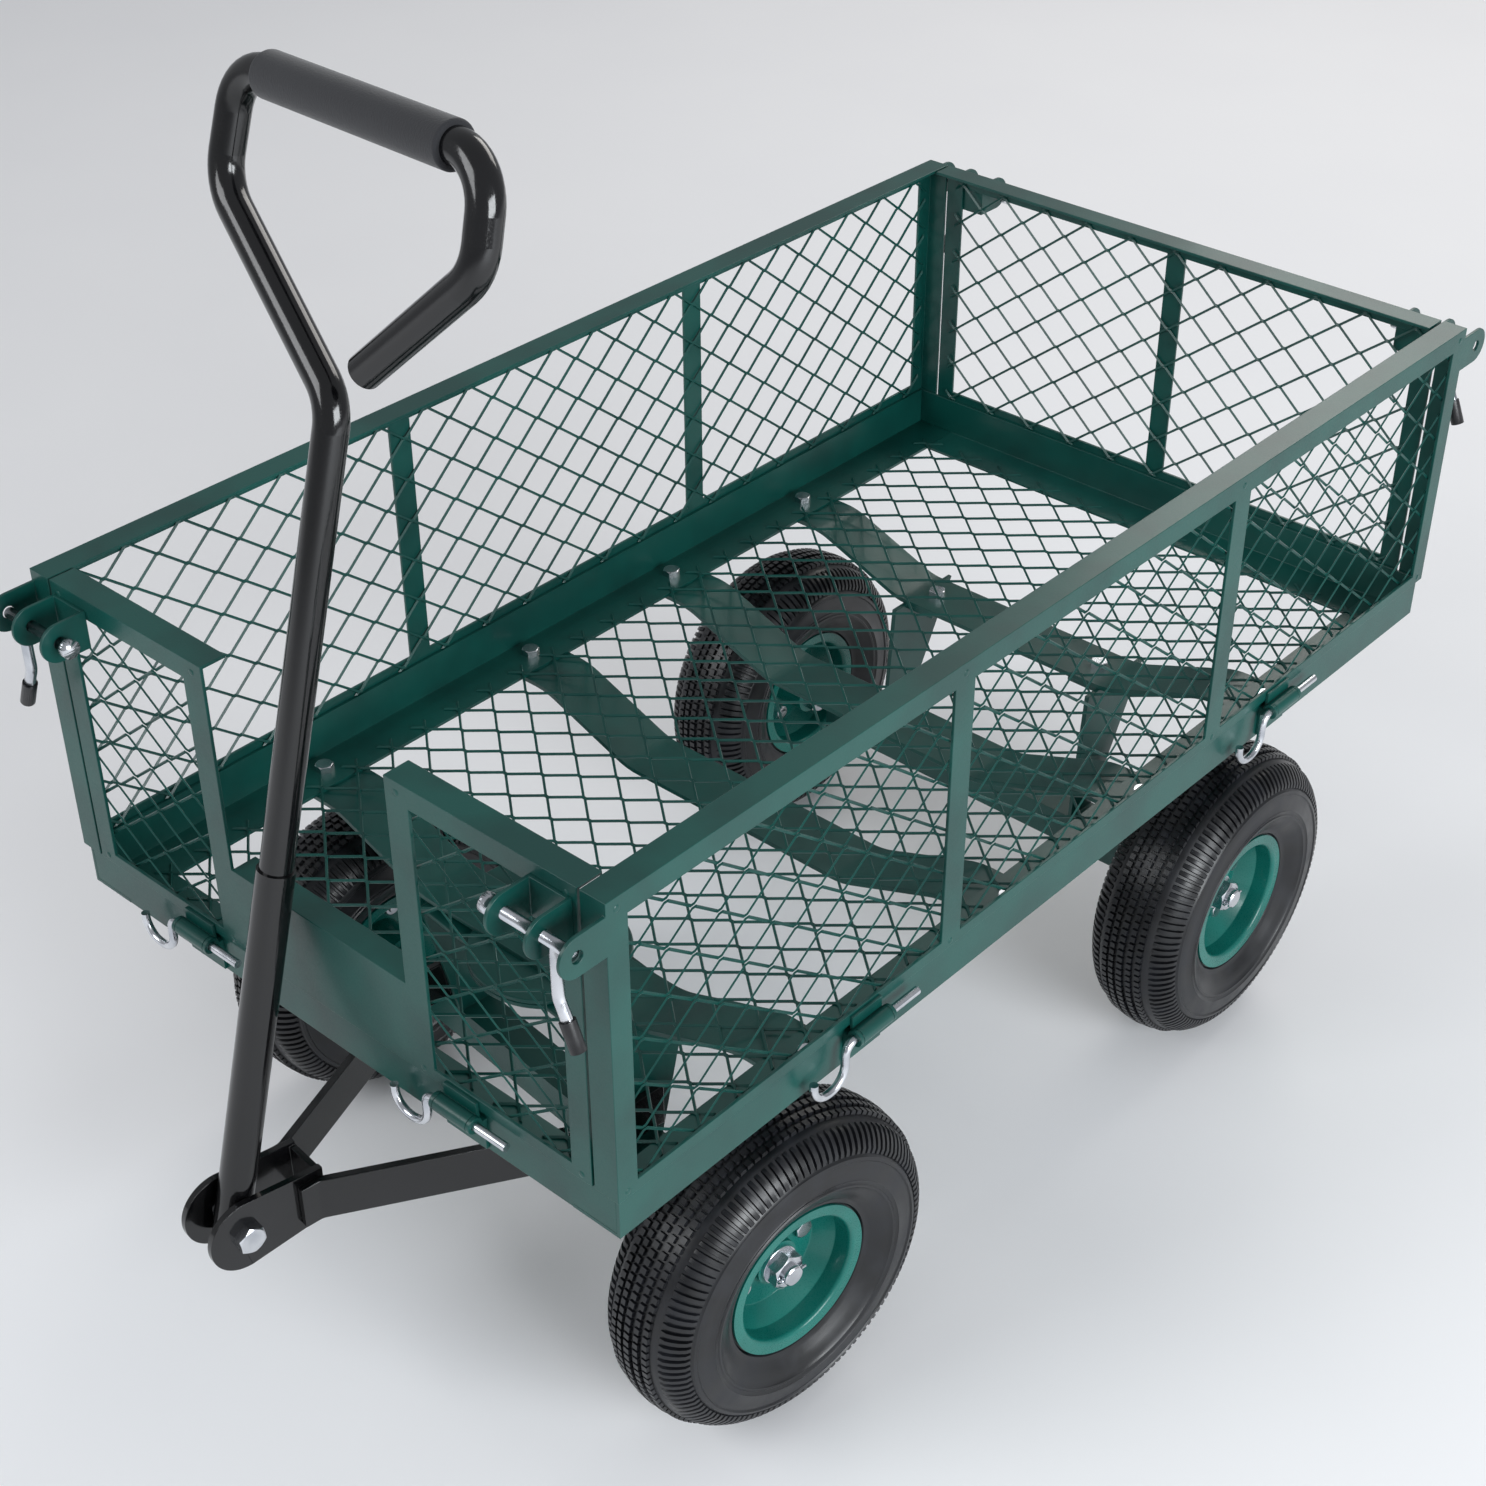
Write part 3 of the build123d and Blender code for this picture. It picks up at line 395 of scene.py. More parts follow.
def expandedTree():
    tree, given = newTree("expandedMesh", [
        ("Columns", "Int"), ("Rows", "Int"), ("Long", "Float"), ("Short", "Float"), ("Strand", "Float"),
        ("Thickness", "Float"), ("Bond", "Float"), ("Tilt", "Float"), ("Material", "Material"),
    ])

    def maths(operation, *values):
        node = addNode(tree, "ShaderNodeMath", {"operation": operation})
        for i, value in enumerate(values):
            if isinstance(value, (int, float)):
                node.inputs[i].default_value = value
            else:
                tree.links.new(value, node.inputs[i])
        return node.outputs[0]

    index = addNode(tree, "GeometryNodeInputIndex").outputs[0]
    knuckle = maths("FLOOR", maths("DIVIDE", index, 2))
    leaving = maths("SUBTRACT", maths("MODULO", index, 2), 0.5)
    upper = maths("MODULO", knuckle, 2)
    half = maths("MULTIPLY", given["Long"], 0.5)
    along = maths("MULTIPLY", maths("SUBTRACT", knuckle, maths("MULTIPLY", given["Columns"], 0.5)), half)
    x = maths("ADD", along, maths("MULTIPLY", leaving, given["Bond"]))
    flatWidth = maths("MULTIPLY", given["Strand"], maths("COSINE", given["Tilt"]))
    rise = maths("SUBTRACT", maths("MULTIPLY", given["Short"], 0.5), flatWidth)
    y = maths("ADD", maths("MULTIPLY", upper, rise), maths("MULTIPLY", flatWidth, 0.5))
    lift = maths("MULTIPLY", given["Strand"], maths("SINE", given["Tilt"]))
    z = maths("MULTIPLY", maths("SUBTRACT", upper, 0.5), lift)
    place = addNode(tree, "ShaderNodeCombineXYZ", None, {"X": x, "Y": y, "Z": z})

    count = maths("MULTIPLY", given["Columns"], 2)
    line = addNode(tree, "GeometryNodeMeshLine", None, {"Count": count})
    zigzag = addNode(tree, "GeometryNodeSetPosition", None,
                     {"Geometry": line.outputs[0], "Position": place.outputs[0]})
    path = addNode(tree, "GeometryNodeMeshToCurve", None, {"Mesh": zigzag.outputs[0]})
    level = addNode(tree, "GeometryNodeSetCurveNormal", {"mode": "Z_UP"}, {"Curve": path.outputs[0]})
    strip = addNode(tree, "GeometryNodeCurvePrimitiveQuadrilateral", None,
                    {"Width": given["Strand"], "Height": given["Thickness"]})
    lean = addNode(tree, "ShaderNodeCombineXYZ", None, {"Z": given["Tilt"]})
    leant = addNode(tree, "GeometryNodeTransform", None,
                    {"Geometry": strip.outputs[0], "Rotation": lean.outputs[0]})
    strand = addNode(tree, "GeometryNodeCurveToMesh", {"Fill Caps": True},
                     {"Curve": level.outputs[0], "Profile Curve": leant.outputs[0]})

    rowStep = maths("MULTIPLY", given["Short"], 0.5)
    rowX = maths("MULTIPLY", maths("MODULO", index, 2), half)
    rowY = maths("MULTIPLY", maths("SUBTRACT", index, maths("MULTIPLY", given["Rows"], 0.5)), rowStep)
    rowPlace = addNode(tree, "ShaderNodeCombineXYZ", None, {"X": rowX, "Y": rowY})
    rowLine = addNode(tree, "GeometryNodeMeshLine", None, {"Count": given["Rows"]})
    rows = addNode(tree, "GeometryNodeSetPosition", None,
                   {"Geometry": rowLine.outputs[0], "Position": rowPlace.outputs[0]})
    sheet = addNode(tree, "GeometryNodeInstanceOnPoints", None,
                    {"Points": rows.outputs[0], "Instance": strand.outputs[0]})
    finishTree(tree, given, sheet.outputs[0])
    return tree


def trimmed(mesh, low, high):  # shears the sheet off at its rectangle and caps the cut strands
    bm = bmesh.new()
    bm.from_mesh(mesh)
    for axis, side, edge in ((0, -1, low[0]), (0, 1, high[0]), (1, -1, low[1]), (1, 1, high[1])):
        point, normal = Vector((0, 0, 0)), Vector((0, 0, 0))
        point[axis], normal[axis] = edge, side
        done = bmesh.ops.bisect_plane(bm, geom=bm.verts[:] + bm.edges[:] + bm.faces[:], dist=1e-7,
                                      plane_co=point, plane_no=normal, clear_outer=True)
        rim = [g for g in done["geom_cut"] if isinstance(g, bmesh.types.BMEdge)]
        bmesh.ops.holes_fill(bm, edges=rim, sides=8)
    bm.to_mesh(mesh)
    bm.free()


def cornersOf(node, side=0):  # lowest and highest corner, of one half (by X) when a side is given
    points = [v.co for v in cad[node].data.vertices if side == 0 or v.co.x * side > 0]
    return [Vector([pick(p[i] for p in points) for i in range(3)]) for pick in (min, max)]


meshTree = expandedTree()


def meshSheet(name, low, high, across, up, outward):
    # one sheet filling the box; its diamonds are centred where the CAD's are
    size = high - low
    width, height = abs(size.dot(across)), abs(size.dot(up))
    columns = ceil(width / expanded["long"]) * 2 + 4
    rows = ceil(height / expanded["short"]) * 2 + 4
    sheet = grow(meshTree, name, {
        "Columns": columns, "Rows": rows, "Long": expanded["long"], "Short": expanded["short"],
        "Strand": expanded["strand"], "Thickness": expanded["thickness"], "Bond": expanded["bond"],
        "Tilt": expanded["tilt"], "Material": greenPaint,
    })
    trimmed(sheet.data, (-width / 2, -height / 2), (width / 2, height / 2))
    middle = (low + high) / 2
    m = Matrix((across, up, outward)).transposed().to_4x4()
    depth = (expanded["strand"] * sin(expanded["tilt"]) + expanded["thickness"] * cos(expanded["tilt"])) / 2
    face = max(low.dot(outward), high.dot(outward))
    m.translation = middle + outward * (face - middle.dot(outward) - depth - expanded["setBack"])
    sheet.data.transform(m)
    smoothUnder(sheet.data, 20)
    return sheet


xAxis, yAxis, zAxis = Vector((1, 0, 0)), Vector((0, 1, 0)), Vector((0, 0, 1))
sheets = [
    ("leftMesh", "left_panel_mesh", -yAxis, zAxis, -xAxis),
    ("rightMesh", "right_panel_mesh", yAxis, zAxis, xAxis),
    ("rearMesh", "rear_panel_mesh", -xAxis, zAxis, yAxis),
    ("floorMesh", "floor_mesh", xAxis, yAxis, zAxis),
]
for name, node, across, up, outward in sheets:
    low, high = cornersOf(node)
    hand(meshSheet(name, low, high, across, up, outward), node)
frontSheets = []
for side in (-1, 1):
    low, high = cornersOf("front_panel_mesh", side)
    frontSheets.append(meshSheet("frontMesh", low, high, xAxis, zAxis, -yAxis))
hand(merged(frontSheets), "front_panel_mesh")
print("expanded mesh: 6 sheets")


tyre = {
    "radius": 127 * mm,
    "bead": 51.6 * mm,
    "beadHalf": 29.6 * mm,
    "wall": 7 * mm,
    "treadDepth": 2.6 * mm,
    "crown": 0.008 * mm,      # fall of the tread for each square millimetre off the middle
    "lugs": 120,              # round the wheel
    "lugGap": 0.24,           # share of the pitch
    "rows": ((0.0, 5.6), (8.2, 4.8), (15.6, 5.0)),   # tread rows: middle and width, mm from the centre plane
    "steps": 120,
    "sidewall": ((60.2, 29.6), (61.6, 31.8), (63.4, 32.2), (66, 33.4), (70, 36.6), (76, 39.9), (79, 41.2),
                 (80, 42.2), (81.5, 42.4), (82.5, 41.7), (84.5, 42.0), (85.5, 42.7), (86.5, 42.0),
                 (94, 41.6), (99, 40.2), (100, 41.0), (102.4, 40.2), (103.4, 38.6), (106, 37.1),
                 (111, 33.9), (115.5, 29.5), (118.6, 24.9), (120.2, 22.4)),   # radius, height in mm
    "crownPlaces": (20.6, 18.4, 15.6, 12.8, 10.8, 8.2, 5.6, 3.2),
    "inside": ((75, 31), (95, 33), (108, 26)),
    "insideCrown": 8 * mm,
    "ribPath": ((104, 38.4), (107, 36.6), (111, 33.9), (114.4, 30.8), (117.4, 26.9), (119.4, 23.6)),
    "ribRoot": -0.6 * mm,
    "ribHeight": 2.1 * mm,
    "ribWidths": (0.66, 0.44),   # foot and crest, share of the pitch
    "ribTurn": 0.25,             # the two shoulders' ribs are staggered, share of the pitch
    "ribEnds": 0.35,             # a rib's ends run out low
    "blockTaper": 0.86,   # a block's top against its foot, around the tyre and across it
    "blockTop": 0.9,
    "blockSunk": 0.5 * mm,
    "blockWorn": 0.4 * mm,
}


def tyreSection():
    # outside of the carcass from bead to bead, then the inside back again
    t = tyre
    deep = t["radius"] - t["treadDepth"]
    outside = [(t["bead"], t["beadHalf"] - 2 * mm), (t["bead"] + 2 * mm, t["beadHalf"])]
    outside += [(r * mm, h * mm) for r, h in t["sidewall"]]
    for h in t["crownPlaces"]:
        outside.append((deep - t["crown"] * h ** 2, h * mm))
    outside.append((deep, 0))
    outside += [(r, -h) for r, h in reversed(outside[:-1])]
    inner = t["radius"] - t["wall"] - 2 * mm
    hollow = [(t["bead"], t["wall"] - t["beadHalf"])]
    hollow += [(r * mm, -h * mm) for r, h in t["inside"]] + [(inner, -t["insideCrown"])]
    hollow += [(r, -h) for r, h in reversed(hollow)]
    return outside + hollow


def lugTree():
    # one lug shape turned round the axle
    tree, given = newTree("treadLugs", [("Count", "Int"), ("Turn", "Float"), ("Material", "Material")])
    points = addNode(tree, "GeometryNodePoints", None, {"Count": given["Count"]})
    index = addNode(tree, "GeometryNodeInputIndex").outputs[0]
    share = addNode(tree, "ShaderNodeMath", {"operation": "DIVIDE"}, {0: index, 1: given["Count"]})
    angle = addNode(tree, "ShaderNodeMath", {"operation": "MULTIPLY", 1: 2 * pi}, {0: share.outputs[0]})
    turned = addNode(tree, "ShaderNodeMath", {"operation": "ADD"}, {0: angle.outputs[0], 1: given["Turn"]})
    spin = addNode(tree, "ShaderNodeCombineXYZ", None, {"Z": turned.outputs[0]})
    ring = addNode(tree, "GeometryNodeInstanceOnPoints", None, {
        "Points": points.outputs[0], "Instance": given["Geometry"], "Rotation": spin.outputs[0],
    })
    finishTree(tree, given, ring.outputs[0])
    return tree


shoulder = Vector((0.6, 0.8))   # roughly outwards from the tyre's shoulder: radius, height


def lugMesh(name, path, bottom, top, widths):
    # a raised lug following (radius, height) points; widths across it at the foot and the crest
    bm = bmesh.new()
    rows = []
    for i, (r, h) in enumerate(path):
        before, after = path[max(i - 1, 0)], path[min(i + 1, len(path) - 1)]
        way = Vector((after[0] - before[0], after[1] - before[1])).normalized()
        out = Vector((-way.y, way.x))
        if out.x * shoulder.x + out.y * (1 if h > 0 else -1) * shoulder.y < 0:
            out = -out
        ends = tyre["ribEnds"] if i in (0, len(path) - 1) else 1.0
        foot = Vector((r, h)) + out * bottom
        crest = Vector((r, h)) + out * (top * ends)
        rows.append([bm.verts.new((p.x, s * w / 2, p.y)) for p, w, s in (
            (foot, widths[0], -1), (crest, widths[1], -1), (crest, widths[1], 1), (foot, widths[0], 1))])
    for here, there in zip(rows, rows[1:]):
        for j in range(3):
            bm.faces.new((here[j], here[j + 1], there[j + 1], there[j]))
    bm.faces.new(rows[0])
    bm.faces.new(rows[-1])
    bmesh.ops.recalc_face_normals(bm, faces=bm.faces)
    return meshFrom(bm, name)


def blockMesh(name, middle, width, pitch):
    # a tread block on the crown, level with the CAD's tyre
    t = tyre
    bm = bmesh.new()
    crest = t["radius"] - t["crown"] * middle ** 2
    foot = crest - t["treadDepth"] - t["blockSunk"]
    half = pitch * (1 - t["lugGap"]) / 2
    corners = ((-1, -1), (1, -1), (1, 1), (-1, 1))
    low = [bm.verts.new((foot, s * half, (middle + e * width / 2) * mm)) for s, e in corners]
    high = []
    for s, e in corners:
        worn = t["blockWorn"] if e * middle > 0 else 0   # the outer edge falls with the crown
        place = (middle + e * width * t["blockTop"] / 2) * mm
        high.append(bm.verts.new((crest - worn, s * half * t["blockTaper"], place)))
    for j in range(4):
        bm.faces.new((low[j], low[(j + 1) % 4], high[(j + 1) % 4], high[j]))
    bm.faces.new(high)
    bm.faces.new(list(reversed(low)))
    bmesh.ops.recalc_face_normals(bm, faces=bm.faces)
    return meshFrom(bm, name)


def tyreMesh():
    t = tyre
    carcass = spun("carcass", tyreSection(), t["steps"])
    bm = bmesh.new()
    bm.from_mesh(carcass)
    pitch = 2 * pi * t["radius"] / t["lugs"]
    widths = [pitch * share for share in t["ribWidths"]]
    rows = []
    for side in (-1, 1):
        path = [(r * mm, h * side * mm) for r, h in t["ribPath"]]
        rows.append((lugMesh("shoulderRib", path, t["ribRoot"], t["ribHeight"], widths), side * t["ribTurn"]))
        for place, (middle, width) in enumerate(t["rows"]):
            if place or side > 0:
                rows.append((blockMesh("treadBlock", side * middle, width, pitch), place * 0.5 * side))
    for mesh, turn in rows:
        ring = grow(lugs, "lugRing", {
            "Count": t["lugs"], "Turn": turn * 2 * pi / t["lugs"], "Material": rubber,
        }, mesh)
        bm.from_mesh(ring.data)
        bpy.data.objects.remove(ring)
    mesh = meshFrom(bm, "tyre")
    smoothUnder(mesh, 32)
    return mesh


wheels = [f"{row}_{side}" for row in ("front", "rear") for side in ("left", "right")]
lugs = lugTree()
oneTyre = tyreMesh()
for wheel in wheels:
    joint = jointOf[wheel + "_wheel_spin"]
    mesh = oneTyre.copy()
    mesh.transform(standing(joint["pos_m"], joint["axis"]))
    hand(newPiece(wheel + "Tyre", mesh, rubber), wheel + "_tyre")
print("tyres:", len(oneTyre.polygons), "faces each")


hexes = {
    "M8": {"flats": 13 * mm, "head": 5.5 * mm, "nut": 5.5 * mm, "thread": 4 * mm},
    "M12": {"flats": 19 * mm, "head": 7.5 * mm, "nut": 9 * mm, "thread": 6 * mm},
    "M16": {"flats": 24 * mm, "head": 10 * mm, "nut": 12 * mm, "thread": 8 * mm},
    "corners": 36,
    "chamfer": 0.95,     # turned face, share of the inscribed circle
    "pitch": 1.25 * mm,
}


def hexMesh(name, flats, height, hole=0.0):
    # hexagon with the turned chamfer that leaves curved corners on its top
    bm = bmesh.new()
    n = hexes["corners"]
    inscribed = flats / 2
    rings = []
    for level in range(4):
        ring = []
        for i in range(n):
            a = 2 * pi * i / n
            reach = inscribed / cos((a % (pi / 3)) - pi / 6)
            face = inscribed * hexes["chamfer"]
            drop = max(0.0, reach - face) * tan(radians(30))
            r, h = ((hole, height), (face, height), (reach, height - drop), (reach, 0.0))[level]
            ring.append(bm.verts.new((r * cos(a), r * sin(a), h)))
        rings.append(ring)
    for upper, lower in zip(rings, rings[1:]):
        for i in range(n):
            bm.faces.new((upper[i], lower[i], lower[(i + 1) % n], upper[(i + 1) % n]))
    if hole:
        foot = [bm.verts.new((v.co.x, v.co.y, 0)) for v in rings[0]]
        for i in range(n):
            bm.faces.new((foot[i], rings[0][i], rings[0][(i + 1) % n], foot[(i + 1) % n]))
            bm.faces.new((rings[3][i], foot[i], foot[(i + 1) % n], rings[3][(i + 1) % n]))
    else:
        bm.faces.new(list(reversed(rings[3])))
        bmesh.ops.remove_doubles(bm, verts=rings[0], dist=1e-6)
    bmesh.ops.recalc_face_normals(bm, faces=bm.faces)
    return meshFrom(bm, name)


thread = {
    "plain": 0.05 * mm,   # how far each stretch lies inside the nominal radius
    "crest": 0.1 * mm,
    "root": 0.75 * mm,
    "end": 0.9 * mm,
    "rootPlace": 0.3,     # share of the pitch
    "crestPlace": 0.8,
    "steps": 24,
}


def threadedMesh(name, radius, low, high, ridged):
    # a screw's shank: plain, with ridges over its last stretch
    t, pitch = thread, hexes["pitch"]
    outline = [(0, low), (radius - t["plain"], low), (radius - t["plain"], high - ridged)]
    for i in range(int(ridged / pitch)):
        base = high - ridged + i * pitch
        outline += [(radius - t["root"], base + pitch * t["rootPlace"]),
                    (radius - t["crest"], base + pitch * t["crestPlace"])]
    outline += [(radius - t["end"], high), (0, high)]
    return spun(name, outline, t["steps"], closed=False)


def joined(name, meshes, material, sharp=28):
    bm = bmesh.new()
    for mesh, m in meshes:
        moved = mesh.copy()
        moved.transform(m)
        bm.from_mesh(moved)
        bpy.data.meshes.remove(moved)
    mesh = meshFrom(bm, name)
    smoothUnder(mesh, sharp)
    return newPiece(name, mesh, material)


def screwTree():
    # copies of one screw at the given points, each facing along the point's own direction
    tree, given = newTree("screws", [("Screw", "Object"), ("Material", "Material")])
    way = addNode(tree, "GeometryNodeInputNamedAttribute", {"data_type": "FLOAT_VECTOR", "Name": "facing"})
    turn = addNode(tree, "FunctionNodeAlignRotationToVector", {"axis": "Z"}, {"Vector": way.outputs[0]})
    shape = addNode(tree, "GeometryNodeObjectInfo", None, {"Object": given["Screw"]})
    copies = addNode(tree, "GeometryNodeInstanceOnPoints", None, {
        "Points": given["Geometry"], "Instance": shape.outputs["Geometry"], "Rotation": turn.outputs[0],
    })
    finishTree(tree, given, copies.outputs[0])
    return tree


screws = screwTree()


def screwSet(name, screw, places):
    # places are (point, direction) pairs; the screw's seat is its Z = 0
    mesh = bpy.data.meshes.new(name)
    mesh.from_pydata([tuple(p) for p, d in places], [], [])
    facing = mesh.attributes.new("facing", "FLOAT_VECTOR", "POINT")
    for i, (p, d) in enumerate(places):
        facing.data[i].vector = d
    model = newPiece(name + "Model", screw, zinc)
    result = grow(screws, name, {"Screw": model, "Material": zinc}, mesh)
    bpy.data.objects.remove(model)
    smoothUnder(result.data, 28)
    return result


def looseParts(bm):  # the vertices of each separate solid
    left, found = set(bm.verts), []
    while left:
        stack, group = [left.pop()], []
        while stack:
            v = stack.pop()
            group.append(v)
            for e in v.link_edges:
                other = e.other_vert(v)
                if other in left:
                    left.remove(other)
                    stack.append(other)
        found.append(group)
    return found


def islands(node):  # lowest corner, highest corner and points of each solid in a CAD node
    bm = welded(node)
    found = []
    for part in looseParts(bm):
        group = [v.co.copy() for v in part]
        low = Vector([min(p[i] for p in group) for i in range(3)])
        high = Vector([max(p[i] for p in group) for i in range(3)])
        found.append((low, high, group))
    bm.free()
    return found


def fullBolt(name, size, grip, overhang):
    # head at the top, nut below the grip, thread end past the nut; seat at Z = 0
    kind = hexes[size]
    parts = [
        (hexMesh("head", kind["flats"], kind["head"]), Matrix()),
        (hexMesh("nut", kind["flats"], kind["nut"], kind["thread"] * 0.9),
         Matrix.Translation((0, 0, -grip)) @ Matrix.Rotation(pi, 4, "X")),
        (threadedMesh("shank", kind["thread"], 0.0, grip + kind["nut"] + overhang, overhang + 2 * mm),
         Matrix.Rotation(pi, 4, "X")),
    ]
    piece = joined(name, parts, zinc)
    mesh = piece.data
    bpy.data.objects.remove(piece)
    return mesh


bolts = {
    "below": 3 * mm,     # a nut's top face is at least this far under the head
    "reach": 40 * mm,    # and no further than this
    "tail": 1 * mm,      # thread end, left out of the search
    "rimCircle": 30 * mm,
    "rimSeat": 2 * mm,
    "rimGrip": 4 * mm,
    "rimTail": 1.5 * mm,
}
chassis = islands("chassis_bolts")
boltPlaces = {}   # by length: middle, highest and lowest corner
for low, high, group in chassis:
    boltPlaces.setdefault(round((high.z - low.z) / mm, 1), []).append(((low + high) / 2, high, low))
pieces = []
for places in boltPlaces.values():
    top, foot = places[0][1].z - hexes["M8"]["head"], places[0][2].z
    levels = [v.z for low, high, group in chassis for v in group
              if top - bolts["reach"] < v.z < top - bolts["below"] and v.z > foot + bolts["tail"]]
    seat = round(max(levels) / mm, 2) * mm
    screw = fullBolt("chassisBolt", "M8", top - seat, seat - hexes["M8"]["nut"] - foot)
    heads = [(Vector((middle.x, middle.y, top)), zAxis) for middle, high, low in places]
    pieces.append(screwSet("chassisBolts", screw, heads))
hand(merged(pieces), "chassis_bolts")

for wheel in wheels:
    joint = jointOf[wheel + "_wheel_spin"]
    axle = Vector(joint["axis"]) * (-1 if wheel.endswith("left") else 1)
    centre = Vector(joint["pos_m"])
    rimScrew = fullBolt("rimBolt", "M8", bolts["rimGrip"], bolts["rimTail"])
    places = []
    for low, high, group in islands(wheel + "_rim_bolts"):
        middle = sum(group, Vector()) / len(group)
        flat = middle - centre
        flat -= axle * flat.dot(axle)
        spot = centre + flat.normalized() * bolts["rimCircle"] + axle * bolts["rimSeat"]
        places.append((spot, axle))
    hand(screwSet(wheel + "RimBolts", rimScrew, places), wheel + "_rim_bolts")
print("fasteners on deck and rims")

pins = {
    "kingpinSeat": 264 * mm,     # top of the front cross member
    "kingpinGrip": 12.6 * mm,
    "kingpinLength": 44 * mm,
    "pivotSeat": 19 * mm,        # bolt head, out from the tongue's middle
    "pivotLength": 50 * mm,
}
m16, m12 = hexes["M16"], hexes["M12"]
steer, tilt = jointOf["steering"]["pos_m"], jointOf["handle_tilt"]
kingScrew = fullBolt("kingpinBolt", "M16", pins["kingpinGrip"],
                     pins["kingpinLength"] - pins["kingpinGrip"] - m16["nut"])
kingSeat = Vector((steer[0], steer[1], pins["kingpinSeat"]))
hand(screwSet("kingpinSet", kingScrew, [(kingSeat, zAxis)]), "kingpin")
pivotScrew = fullBolt("pivotBolt", "M12", 2 * pins["pivotSeat"],
                      pins["pivotLength"] - 2 * pins["pivotSeat"] - m12["nut"])
across = Vector(tilt["axis"])
hand(screwSet("pivotSet", pivotScrew, [(Vector(tilt["pos_m"]) + across * pins["pivotSeat"], across)]),
     "handle_pivot_bolt")

axleEnd = {
    "washerSeat": 10.3 * mm,      # out from the wheel's centre plane
    "washerRadius": 15 * mm,
    "washerHole": 8.1 * mm,
    "nutHole": 8.05 * mm,
    "washer": 2.5 * mm,
    "nut": 10 * mm,
    "innerSeat": -34.3 * mm,
    "innerNut": 12 * mm,
    "cotterSeat": 24.6 * mm,
    "cotterHalf": 13 * mm,
    "cotter": 1.25 * mm,
    "cotterLeg": 9 * mm,          # leg reaches this far up to the eye
    "eye": 1.9 * mm,              # cotter pin's eye, middle radius
}


def cotterMesh():
    # a split pin: round leg, with the eye that stops it from falling through
    a = axleEnd
    low, high = -a["cotterHalf"], a["cotterLeg"]
    leg = spun("leg", [(0, low), (a["cotter"] - 0.3 * mm, low), (a["cotter"], low + 0.5 * mm),
                       (a["cotter"], high), (0, high)], 16, False)
    eye = [(a["eye"] + 0.8 * mm * cos(t * pi / 4), 0.8 * mm * sin(t * pi / 4)) for t in range(8)]
    ring = spun("eye", eye, 20)
    spot = Matrix.Translation((0, 0, a["cotterHalf"] - a["eye"] - 0.8 * mm)) @ Matrix.Rotation(pi / 2, 4, "Y")
    return [(leg, Matrix()), (ring, spot)]


def axleHardware(row):
    # both ends of one axle: nut behind the hub, washer, nut and split pin in front of it
    a = axleEnd
    rim, thick, worn = a["washerRadius"], a["washer"], 0.3 * mm
    washer = spun("washer", [(a["washerHole"], 0), (rim, 0), (rim, thick - worn), (rim - worn, thick),
                             (a["washerHole"], thick)], 48)
    outerNut = hexMesh("outerNut", m16["flats"], a["nut"], a["nutHole"])
    innerNut = hexMesh("innerNut", m16["flats"], a["innerNut"], a["nutHole"])
    parts = []
    for side in ("left", "right"):
        joint = jointOf[f"{row}_{side}_wheel_spin"]
        out = Vector(joint["axis"]) * (-1 if side == "left" else 1)
        centre = Vector(joint["pos_m"])
        parts += [
            (washer, standing(centre + out * a["washerSeat"], out)),
            (outerNut, standing(centre + out * (a["washerSeat"] + a["washer"]), out)),
            (innerNut, standing(centre + out * a["innerSeat"], -out)),
        ]
        cross = standing(centre + out * a["cotterSeat"], out.cross(zAxis))
        parts += [(mesh, cross @ m) for mesh, m in cotterMesh()]
    hand(joined(row + "AxleHardware", parts, zinc), row + "_axle_nuts")


axleHardware("front")
axleHardware("rear")
print("kingpin, pivot bolt and axle hardware")


def latchPiece(node):
    # bent pin in bright zinc with a black vinyl sleeve on the lever's tip
    bm = welded(node)
    tip = set(min(looseParts(bm), key=lambda part: max(v.co.z for v in part)))
    bm.faces.index_update()
    sleeve = [f.index for f in bm.faces if f.verts[0] in tip]
    mesh = meshFrom(bm, node + "Pin")
    smoothUnder(mesh, 35)
    piece = newPiece(node + "Pin", mesh, zinc)
    mesh.materials.append(sleeveVinyl)
    for i in sleeve:
        mesh.polygons[i].material_index = 1
    hand(piece, node)


for node in [n for n in cad if n.startswith("latch_")]:
    latchPiece(node)
print("latch pins")


welds = {
    "radius": 2.7 * mm,
    "proud": 0.5 * mm,
    "foot": 11 * mm,           # above the hinge axis
    "head": 225 * mm,
    "face": 7 * mm,            # panel's face, in from the hinge axis
    "long": (-469.5, -159.5, 159.5, 469.5),
    "rear": (-234.5, 0, 234.5),
    "front": (-234.5, -95, 95, 234.5),
}


def spotWelds(side, outward, along, posts):
    # the flattened spots that join each post to the rails, under the paint
    w = welds
    dome = spun("weldSpot", [(0, -0.2 * mm), (w["radius"], -0.2 * mm), (w["radius"] * 0.8, w["proud"] * 0.6),
                             (w["radius"] * 0.4, w["proud"]), (0, w["proud"])], 20, False)
    middle = Vector(jointOf[side + "_panel_fold"]["pos_m"]) - outward * w["face"]
    parts = [(dome, standing(middle + along * u * mm + zAxis * h, outward)) for u in posts
             for h in (w["foot"], w["head"])]
    piece = joined(side + "SpotWelds", parts, greenPaint, 60)
    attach(piece, bodyOf[side + "_panel_frame"])


spotWelds("left", -xAxis, yAxis, welds["long"])
spotWelds("right", xAxis, yAxis, welds["long"])
spotWelds("rear", yAxis, xAxis, welds["rear"])
spotWelds("front", -yAxis, xAxis, welds["front"])
print("spot welds")


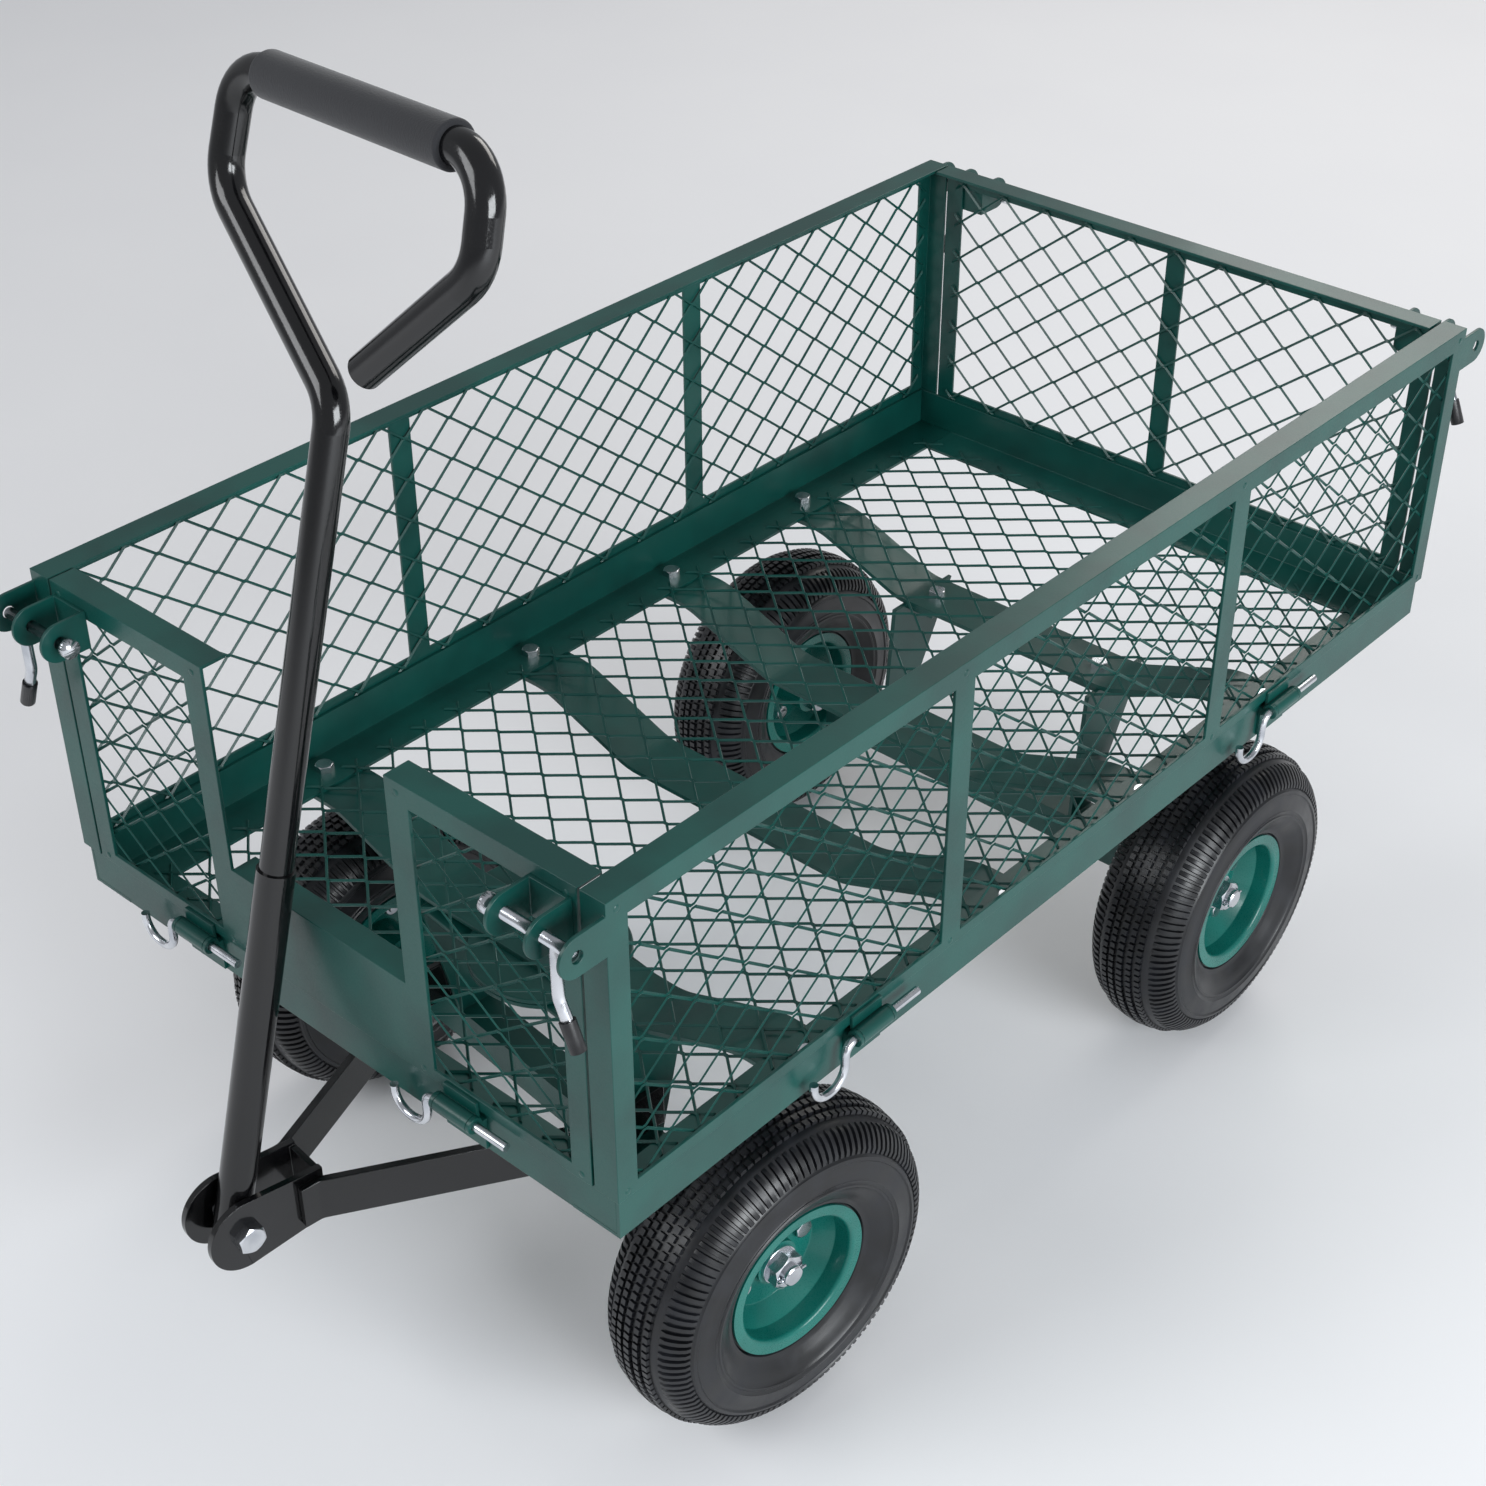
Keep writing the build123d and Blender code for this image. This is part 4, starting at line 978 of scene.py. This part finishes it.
# the rest of the CAD keeps its shape
kept = [n for n in cad if not any(n in (p.get("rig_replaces") or []) for p in bpy.data.objects)]
for node in kept:
    dress(cad[node], rimPaint if node.endswith(("_rim", "_hub")) else finishOf[slotOf[node]])
print("CAD shapes kept:", len(kept))


studio = {
    "floor": "#f4f4f5",
    "floorShade": "#efeff1",
    "sky": "#eef1f6",
    "skyStrength": 0.42,
    "target": (0, 0, 0.3),
    "lamps": {   # power, size, place, tint
        "key": (130, (2.4, 1.4), (3.6, -0.6, 1.5), (0.93, 0.97, 1.0)),
        "fill": (60, (2.0, 2.0), (-1.4, -3.2, 2.6), (0.96, 0.98, 1.0)),
        "back": (45, (2.5, 1.5), (-0.5, 3.4, 2.6), (1.0, 0.97, 0.93)),
    },
}


def stagePiece(name, data):
    thing = bpy.data.objects.new(name, data)
    scene.collection.objects.link(thing)
    return thing


floorMesh = bpy.data.meshes.new("floor")
floorMesh.from_pydata([(-30, -30, 0), (30, -30, 0), (30, 30, 0), (-30, 30, 0)], [], [(0, 1, 2, 3)])
floorPaint, floorTree, floorShader, floorSpot = newMaterial("palePaper", {"Roughness": 0.9})
paper = addNode(floorTree, "ShaderNodeTexNoise", {"Scale": 3.0, "Detail": 2.0}, {"Vector": floorSpot})
tone = blend(floorTree, paper.outputs["Fac"], (0.0, studio["floorShade"]), (1.0, studio["floor"]))
feed(floorTree, floorShader, colour=tone)
floorMesh.materials.append(floorPaint)
stagePiece("floor", floorMesh)

world = bpy.data.worlds.new("studio")
scene.world = world
world.use_nodes = True
world.node_tree.nodes.clear()
sky = addNode(world.node_tree, "ShaderNodeBackground",
              {"Color": fromHex(studio["sky"]), "Strength": studio["skyStrength"]})
addNode(world.node_tree, "ShaderNodeOutputWorld", None, {"Surface": sky.outputs[0]})


def softBox(name, power, size, place, tint):
    lamp = bpy.data.lights.new(name, "AREA")
    lamp.shape = "RECTANGLE"
    lamp.size, lamp.size_y = size
    lamp.energy = power
    lamp.color = tint
    thing = stagePiece(name, lamp)
    thing.location = place
    way = Vector(studio["target"]) - Vector(place)
    thing.rotation_euler = way.to_track_quat("-Z", "Y").to_euler()


for name, (power, size, place, tint) in studio["lamps"].items():
    softBox(name, power, size, place, tint)

view = {
    "azimuth": 42.01,
    "elevation": 34.89,
    "roll": -0.23,
    "place": (0.99463, -1.14435, 1.36857),
    "lens": 58.37,
    "shift": (0.0017, -0.0016),
}
lens = bpy.data.cameras.new("camera")
lens.sensor_width = 36
lens.lens = view["lens"]
lens.shift_x, lens.shift_y = view["shift"]
camera = stagePiece("camera", lens)
camera.location = view["place"]
turned = Matrix.Rotation(radians(view["azimuth"]), 4, "Z")
turned @= Matrix.Rotation(radians(90 - view["elevation"]), 4, "X")
camera.rotation_euler = (turned @ Matrix.Rotation(radians(view["roll"]), 4, "Z")).to_euler()
scene.camera = camera
scene.view_settings.view_transform = "Standard"
